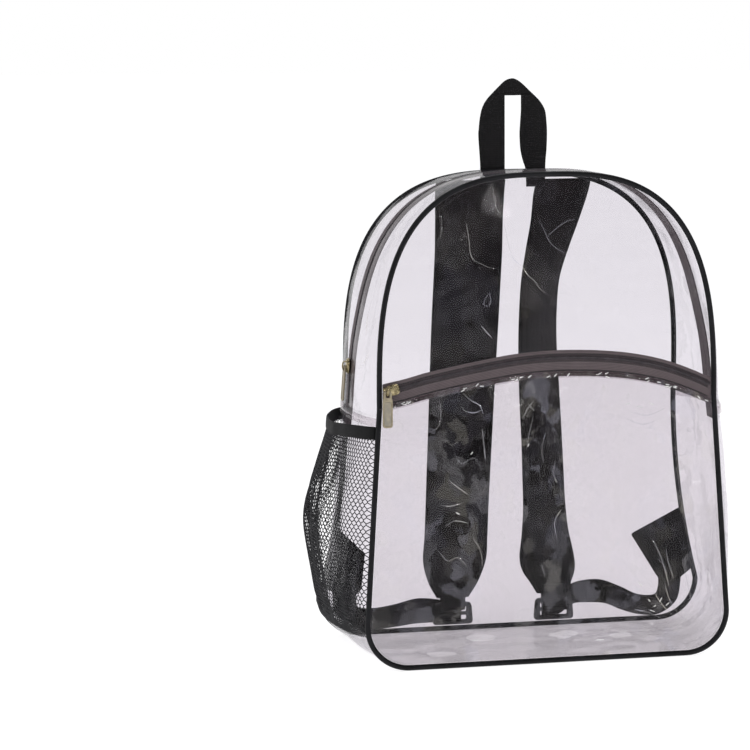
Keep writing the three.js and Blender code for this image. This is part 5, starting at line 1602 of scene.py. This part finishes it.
@dataclass
class Locks:
    """Ladder locks at the strap ends, the loops of webbing on them, and the tabs at the lower corners."""

    finishes: Finishes
    width: float = 36.0
    low: float = 2.2
    high: float = 21.5
    thick: float = 4.0
    out: float = 13.5
    slots: tuple = ((4.0, 8.0), (11.0, 15.5))
    webbing: float = 21.0
    loop: tuple = ((-3, 20.8), (-3.6, 8.8), (-3.3, 3.6), (0, 1.5), (3.3, 3.6), (3.1, 8.8), (3.5, 20.8))
    centre: dict = field(default_factory=lambda: {Side.LEFT: -48.0, Side.RIGHT: 42.0})
    tabs: dict = field(default_factory=lambda: {
        Side.RIGHT: ((0.4, 99), (48.5, 77), (34, 40), (23.6, 27), (0.6, 44), (0.5, 70)),
        Side.LEFT: ((1.1, 95), (31, 70), (35, 40), (23.6, 27), (0.6, 44), (0.5, 70)),
    })

    def lock(self, side: Side) -> None:
        """Moulded plate with two slots and grip ribs on its lower bar."""
        x, y = self.centre[side], float(SHAPE.half_depth(self.low)) + self.out
        stand = Stand((x, y, 0), (1, 0, 0), (0, 0, 1), (0, 1, 0))
        half, w = self.width / 2, self.webbing / 2 + 1.5
        outline = rounded([(-half, self.low), (half, self.low), (half - 1.6, self.high), (1.6 - half, self.high)], 4.0)
        holes = [rounded([(-w, self.low + a), (w, self.low + a), (w, self.low + b), (-w, self.low + b)], 1.0, 4)
                 for a, b in self.slots]
        skin = Skin()
        cut_plate(skin, stand, [outline, *holes], -self.thick / 2, self.thick / 2, 1.1)
        at = np.arange(-5, 6) * 2.0
        ribs = np.stack([x + at, np.full(11, y + self.thick / 2), np.full(11, self.low + 2.0)], -1)
        up, out = np.broadcast_to([0.0, 0, 1], ribs.shape), np.broadcast_to([0.0, 1, 0], ribs.shape)
        beads(skin, ribs, up, out, (1.3, 0.45, 0.5))
        hard(dress(skin.build(f"lock_{side.label}"), self.finishes.plastic, Slot.PLASTIC, f"ladder_lock_{side.label}"))

    def loop_band(self, side: Side) -> None:
        """Webbing folded round the lock's upper bar."""
        x, y = self.centre[side], float(SHAPE.half_depth(self.low)) + self.out
        rows = smooth_rows(list(self.loop), 46)
        z = self.low + self.slots[1][0] + rows[:, 1]
        left = np.stack([np.full(46, x - self.webbing / 2), y + rows[:, 0], z], -1)
        skin = Skin()
        skin.tube(*ribbon(left, left + [self.webbing, 0, 0], 1.2))
        fix_outward(dress(skin.build(f"loop_{side.label}"), self.finishes.webbing, Slot.WEBBING,
                          f"lock_loop_{side.label}"))

    def tab(self, side: Side) -> None:
        """Triangle of doubled webbing sewn into the back seam, with stitches along its edges."""
        edge = [(side.value * (float(SHAPE.width_at(SHAPE.rear, z)) + SHAPE.inset - inside), z)
                for inside, z in self.tabs[side]]
        lean = (SHAPE.depth_top - SHAPE.depth_bottom) / (2 * SHAPE.height)
        y = float(SHAPE.half_depth(0)) + SHAPE.inset
        stand = Stand((0, y, 0), (1, 0, 0), (0, lean, 1), (0, 1, 0))
        skin = Skin()
        cut_plate(skin, stand, [rounded(edge, 2.5)], 0.0, 1.2, 0.5)
        fix_outward(dress(skin.build(f"tab_{side.label}"), self.finishes.webbing, Slot.WEBBING,
                          f"anchor_tab_{side.label}"))
        middle = np.mean(edge, axis=0)
        inner = np.array([middle + (np.array(p) - middle) * 0.86 for p in edge])
        line = even_line(np.stack([*np.concatenate([inner, inner[:1]]).T, np.zeros(len(edge) + 1)], -1), 3.4)
        forward = unit(np.diff(line, axis=0))
        at = (line[1:] + line[:-1]) / 2
        for name, lift, out in (("back", 1.25, 1.0), ("front", -0.05, -1.0)):
            thread = Skin()
            centre = stand.put(at + [0, 0, lift])
            beads(thread, centre, stand.put(forward) - stand.at, np.broadcast_to([0.0, out, 0.0], centre.shape),
                  (1.2, 0.3, 0.25))
            dress(thread.build(f"tab_stitches_{name}_{side.label}"), self.finishes.thread, Slot.WEBBING)

    def build(self) -> None:
        """Both sides."""
        for side in Side:
            self.lock(side)
            self.loop_band(side)
            self.tab(side)


@dataclass
class Slider:
    """A zipper slider with its bridge, and the pull that hangs from it on a body of its own."""

    finishes: Finishes
    name: str
    at: Array
    onward: Array
    out: Array
    up: Array
    away: Array
    shift: float
    long: float = 13.0
    wide: float = 9.0
    tall: float = 2.6
    reach: float = 3.8
    pull_wide: float = 8.2
    pull_long: float = 29.0
    pull_thick: float = 1.3
    window: float = 4.8
    hinge: float = 1.12

    def build(self) -> None:
        """The slider's two waisted plates and its bridge; then the pull with its window and sunk face."""
        onward, out = unit(self.onward), unit(self.out)
        side = unit(np.cross(out, onward))
        face = unit(np.cross(onward, side))
        stand = Stand(self.at, onward, side, face)
        l, w = self.long / 2, self.wide / 2
        edge = np.array([(-l, -w * 0.62), (-l + 2, -w * 0.8), (1, -w), (l - 2, -w), (l, -w * 0.7), (l, w * 0.7),
                         (l - 2, w), (1, w), (-l + 2, w * 0.8), (-l, w * 0.62)])
        skin = Skin()
        cut_plate(skin, stand, [rounded(edge, 1.6)], 0.0, 1.5, 0.55)
        cut_plate(skin, stand, [rounded(edge * [0.84, 0.72], 1.6)], 1.0, self.tall, 0.75)
        foot = self.at + onward * self.shift + face * self.tall
        turned = Stand(foot, self.up, np.cross(self.away, self.up), self.away)
        arch = smooth_rows([(-self.reach + 0.5, 0, -0.9), (-self.reach + 0.5, 0, 1.3), (-self.reach + 1.3, 0, 2.5),
                            (-1.0, 0, 2.85), (1.0, 0, 2.85), (self.reach - 1.3, 0, 2.5), (self.reach - 0.5, 0, 1.3),
                            (self.reach - 0.5, 0, -0.9)], 40)
        a = circle(12)
        normal = unit(np.cross(flow(arch)[0], [0.0, 1.0, 0.0]))
        ring = arch[:, None] + normal[:, None] * (0.55 * np.cos(a))[None, :, None] + np.array([0, 1.0, 0]) * (
            keep_sign(np.sin(a), 0.6))[None, :, None]
        skin.tube(turned.put(ring))
        hard(dress(skin.build(f"{self.name}_slider_body"), self.finishes.brass, Slot.BRASS, f"{self.name}_slider"))
        hang = Stand(foot + self.away * self.hinge, np.cross(self.up, self.away), self.up, self.away)
        w, neck, open_ = self.pull_wide / 2, 3.4, 1.45
        outline = rounded([(-neck, 0.65), (-neck, -self.window - 0.6), (-w, -self.window - 2.2), (-w, -self.pull_long),
                           (w, -self.pull_long), (w, -self.window - 2.2), (neck, -self.window - 0.6), (neck, 0.65)],
                          2.6, 7)
        window = rounded([(-open_, -0.65), (-open_, -self.window), (open_, -self.window), (open_, -0.65)], 0.6, 4)
        sunk = rounded([(-w + 1.3, -self.window - 3.4), (-w + 1.3, -self.pull_long + 1.4),
                        (w - 1.3, -self.pull_long + 1.4), (w - 1.3, -self.window - 3.4)], 2.0, 6)
        half = self.pull_thick / 2
        pull = Skin()
        cut_plate(pull, hang, [outline, window, sunk], -half, half, 0.35)
        hard(dress(pull.build(f"{self.name}_pull_tag"), self.finishes.pull, Slot.BRASS, f"{self.name}_pull",
                   body=f"{self.name}_pull"))
        inlay = Skin()
        cut_plate(inlay, hang, [sunk * [1.08, 1.01]], -half * 0.5, half * 0.4, 0.12)
        hard(dress(inlay.build(f"{self.name}_pull_face"), self.finishes.pull_face, Slot.BRASS,
                   body=f"{self.name}_pull"))


def pocket_slider(finishes: Finishes) -> Slider:
    """The pocket's slider near the left end of its zipper, its pull hanging straight down."""
    x, step = -0.8962 * SHAPE.front.mid, 5.0
    z = float(SHAPE.pocket_z(x))
    on_line = lambda px: np.array([px, float(SHAPE.front_face(px, SHAPE.pocket_z(px))), float(SHAPE.pocket_z(px))])
    onward = unit(on_line(x + step) - on_line(x - step))
    up = unit(np.array([0, float(SHAPE.front_face(x, z + step) - SHAPE.front_face(x, z - step)), 2 * step]))
    out = unit(np.cross(onward, up))
    at = on_line(x) + out * (0.8 + 1.2 + SHAPE.gap)
    return Slider(finishes, "pocket", at, onward, out, np.array([0.0, 0, 1]), np.array([0.0, -1, 0]), -3.6)


def main_slider(finishes: Finishes) -> Slider:
    """The main zipper's slider on the left side, its pull lying down along the tape."""
    place = SHAPE.place_at(SHAPE.lift + 0.6009 * SHAPE.height, Side.LEFT)
    across, step = float(SHAPE.zip_across(place)), 0.25
    onward = unit(SHAPE.side_point(place - step, across) - SHAPE.side_point(place + step, across))
    wide = unit(SHAPE.side_point(place, across + 0.04) - SHAPE.side_point(place, across - 0.04))
    out = unit(np.cross(wide, onward))
    out = out if out[0] < 0 else -out
    at = SHAPE.side_point(place, across) + out * (1.2 + SHAPE.gap - 1.4)
    return Slider(finishes, "main", at, onward, out, onward, out, 0.0)


@dataclass
class Studio:
    """Pale floor, soft lights, a white surround and the camera of the photograph."""

    place: tuple = (-0.52375, -2.01819, 0.49702)
    yaw: float = -11.034
    pitch: float = 7.346
    roll: float = -0.417
    focal: float = 2538.5
    frame_width: int = 750
    sensor: float = 36.0
    soft: float = 0.5
    glow: float = 0.82
    tent: tuple = (-0.5, 0.25, 0.05, 0.95)
    lamps: tuple = (("key", (-1.5, -0.9, 2.1), (0, 0, 0.2), (1.0, 1.0), 8),
                    ("top", (0.3, 0.5, 2.4), (0, 0, 0.2), (1.4, 1.4), 8),
                    ("strip_right", (1.5, -2.0, 0.7), (0, 0, 0.25), (0.03, 1.3), 6),
                    ("strip_near", (0.45, -2.6, 0.9), (0, 0, 0.25), (0.02, 0.9), 3),
                    ("strip_high", (0.2, -1.9, 1.9), (0, 0, 0.25), (1.2, 0.03), 3),
                    ("strip_left", (-2.2, -0.7, 0.8), (0, 0, 0.25), (0.04, 1.2), 5))

    def camera(self) -> None:
        """Camera whose axes are right, up and minus forward, turned by yaw, pitch and roll."""
        y, p, r = (math.radians(v) for v in (self.yaw, self.pitch, self.roll))
        forward = np.array([-math.sin(y) * math.cos(p), math.cos(y) * math.cos(p), -math.sin(p)])
        right = unit(np.cross(forward, [0, 0, 1.0]))
        up = np.cross(right, forward)
        right, up = math.cos(r) * right + math.sin(r) * up, -math.sin(r) * right + math.cos(r) * up
        data = bpy.data.cameras.new("camera")
        data.sensor_width = self.sensor
        data.lens = self.focal / self.frame_width * self.sensor
        data.clip_end = 50
        made = bpy.data.objects.new("camera", data)
        made.matrix_world = Matrix([(*row, t) for row, t in zip(np.stack([right, up, -forward], 1), self.place)]
                                   + [(0, 0, 0, 1)])
        bpy.context.scene.collection.objects.link(made)
        bpy.context.scene.camera = made

    def light(self, name: str, at: tuple, aim: tuple, size: tuple, power: float) -> None:
        """A soft area light at a point, facing another."""
        data = bpy.data.lights.new(name, "AREA")
        data.shape = "RECTANGLE"
        data.size, data.size_y = size
        data.energy = power
        back = unit(np.array(at) - np.array(aim))
        right = unit(np.cross([0, 0, 1.0], back)) if abs(back[2]) < 0.99 else np.array([1.0, 0, 0])
        up = np.cross(back, right)
        made = bpy.data.objects.new(name, data)
        made.matrix_world = Matrix([(*row, t) for row, t in zip(np.stack([right, up, back], 1), at)] + [(0, 0, 0, 1)])
        made.visible_camera = False
        bpy.context.scene.collection.objects.link(made)

    def surround(self) -> None:
        """World: white behind the bag, and for reflections a tent that is white behind and dark before it."""
        world = bpy.data.worlds.new("surround")
        world.use_nodes = True
        tree = world.node_tree
        tree.nodes.clear()
        new, join = tree.nodes.new, tree.links.new
        out, first, second = new("ShaderNodeOutputWorld"), new("ShaderNodeMixShader"), new("ShaderNodeMixShader")
        path, where, split = new("ShaderNodeLightPath"), new("ShaderNodeTexCoord"), new("ShaderNodeSeparateXYZ")
        span = new("ShaderNodeMapRange")
        soft, white, tent = (new("ShaderNodeBackground") for _ in range(3))
        soft.inputs[0].default_value = (0.97, 0.98, 1.0, 1)
        soft.inputs[1].default_value = self.soft
        white.inputs[0].default_value = (1, 1, 1, 1)
        for number, value in zip(range(1, 5), self.tent):
            span.inputs[number].default_value = value
        join(where.outputs["Generated"], split.inputs[0])
        join(split.outputs[1], span.inputs[0])
        join(span.outputs[0], tent.inputs[1])
        join(path.outputs["Is Glossy Ray"], first.inputs[0])
        join(soft.outputs[0], first.inputs[1])
        join(tent.outputs[0], first.inputs[2])
        join(path.outputs["Is Camera Ray"], second.inputs[0])
        join(first.outputs[0], second.inputs[1])
        join(white.outputs[0], second.inputs[2])
        join(second.outputs[0], out.inputs[0])
        bpy.context.scene.world = world

    def floor(self) -> None:
        """A wide pale floor, lit a little from within like a light table."""
        skin = Skin()
        x, y = np.meshgrid(np.linspace(-60000, 60000, 3), np.linspace(-60000, 60000, 3), indexing="ij")
        skin.patch(np.stack([x, y, 0 * x - 0.2], -1))
        made = skin.build("floor")
        g = Graph("floor_paper")
        shade = g.spread(g.noise(3.0), 0.3, 0.7, 0, 1)
        colour = g.blend(shade, (0.44, 0.44, 0.445), (0.48, 0.48, 0.485))
        paper = g.add("BsdfPrincipled", {}, Base_Color=colour, Roughness=0.9)
        paper.inputs["Specular IOR Level"].default_value = 0.0
        paper.inputs["Emission Color"].default_value = (1, 1, 1, 1)
        paper.inputs["Emission Strength"].default_value = self.glow
        made.data.materials.append(g.finish(paper.outputs[0]))

    def build(self) -> None:
        """Everything around the bag."""
        self.camera()
        self.surround()
        self.floor()
        for lamp in self.lamps:
            self.light(*lamp)
        bpy.context.scene.view_settings.view_transform = "Standard"


def main() -> None:
    """Builds the bag piece by piece."""
    logging.basicConfig(level=logging.INFO, format="%(name)s %(message)s")
    Studio().build()
    finishes = Finishes()
    body = VinylBody(finishes)
    body.front()
    body.pocket()
    body.hem()
    body.ridges()
    body.back()
    body.sides()
    Piping(finishes).build()
    zipper = Zipper(finishes)
    zipper.pocket()
    zipper.main()
    NetPocket(finishes).build()
    Handle(finishes).build()
    Straps(finishes).build()
    Locks(finishes).build()
    pocket_slider(finishes).build()
    main_slider(finishes).build()


if __name__ == "__main__":
    main()
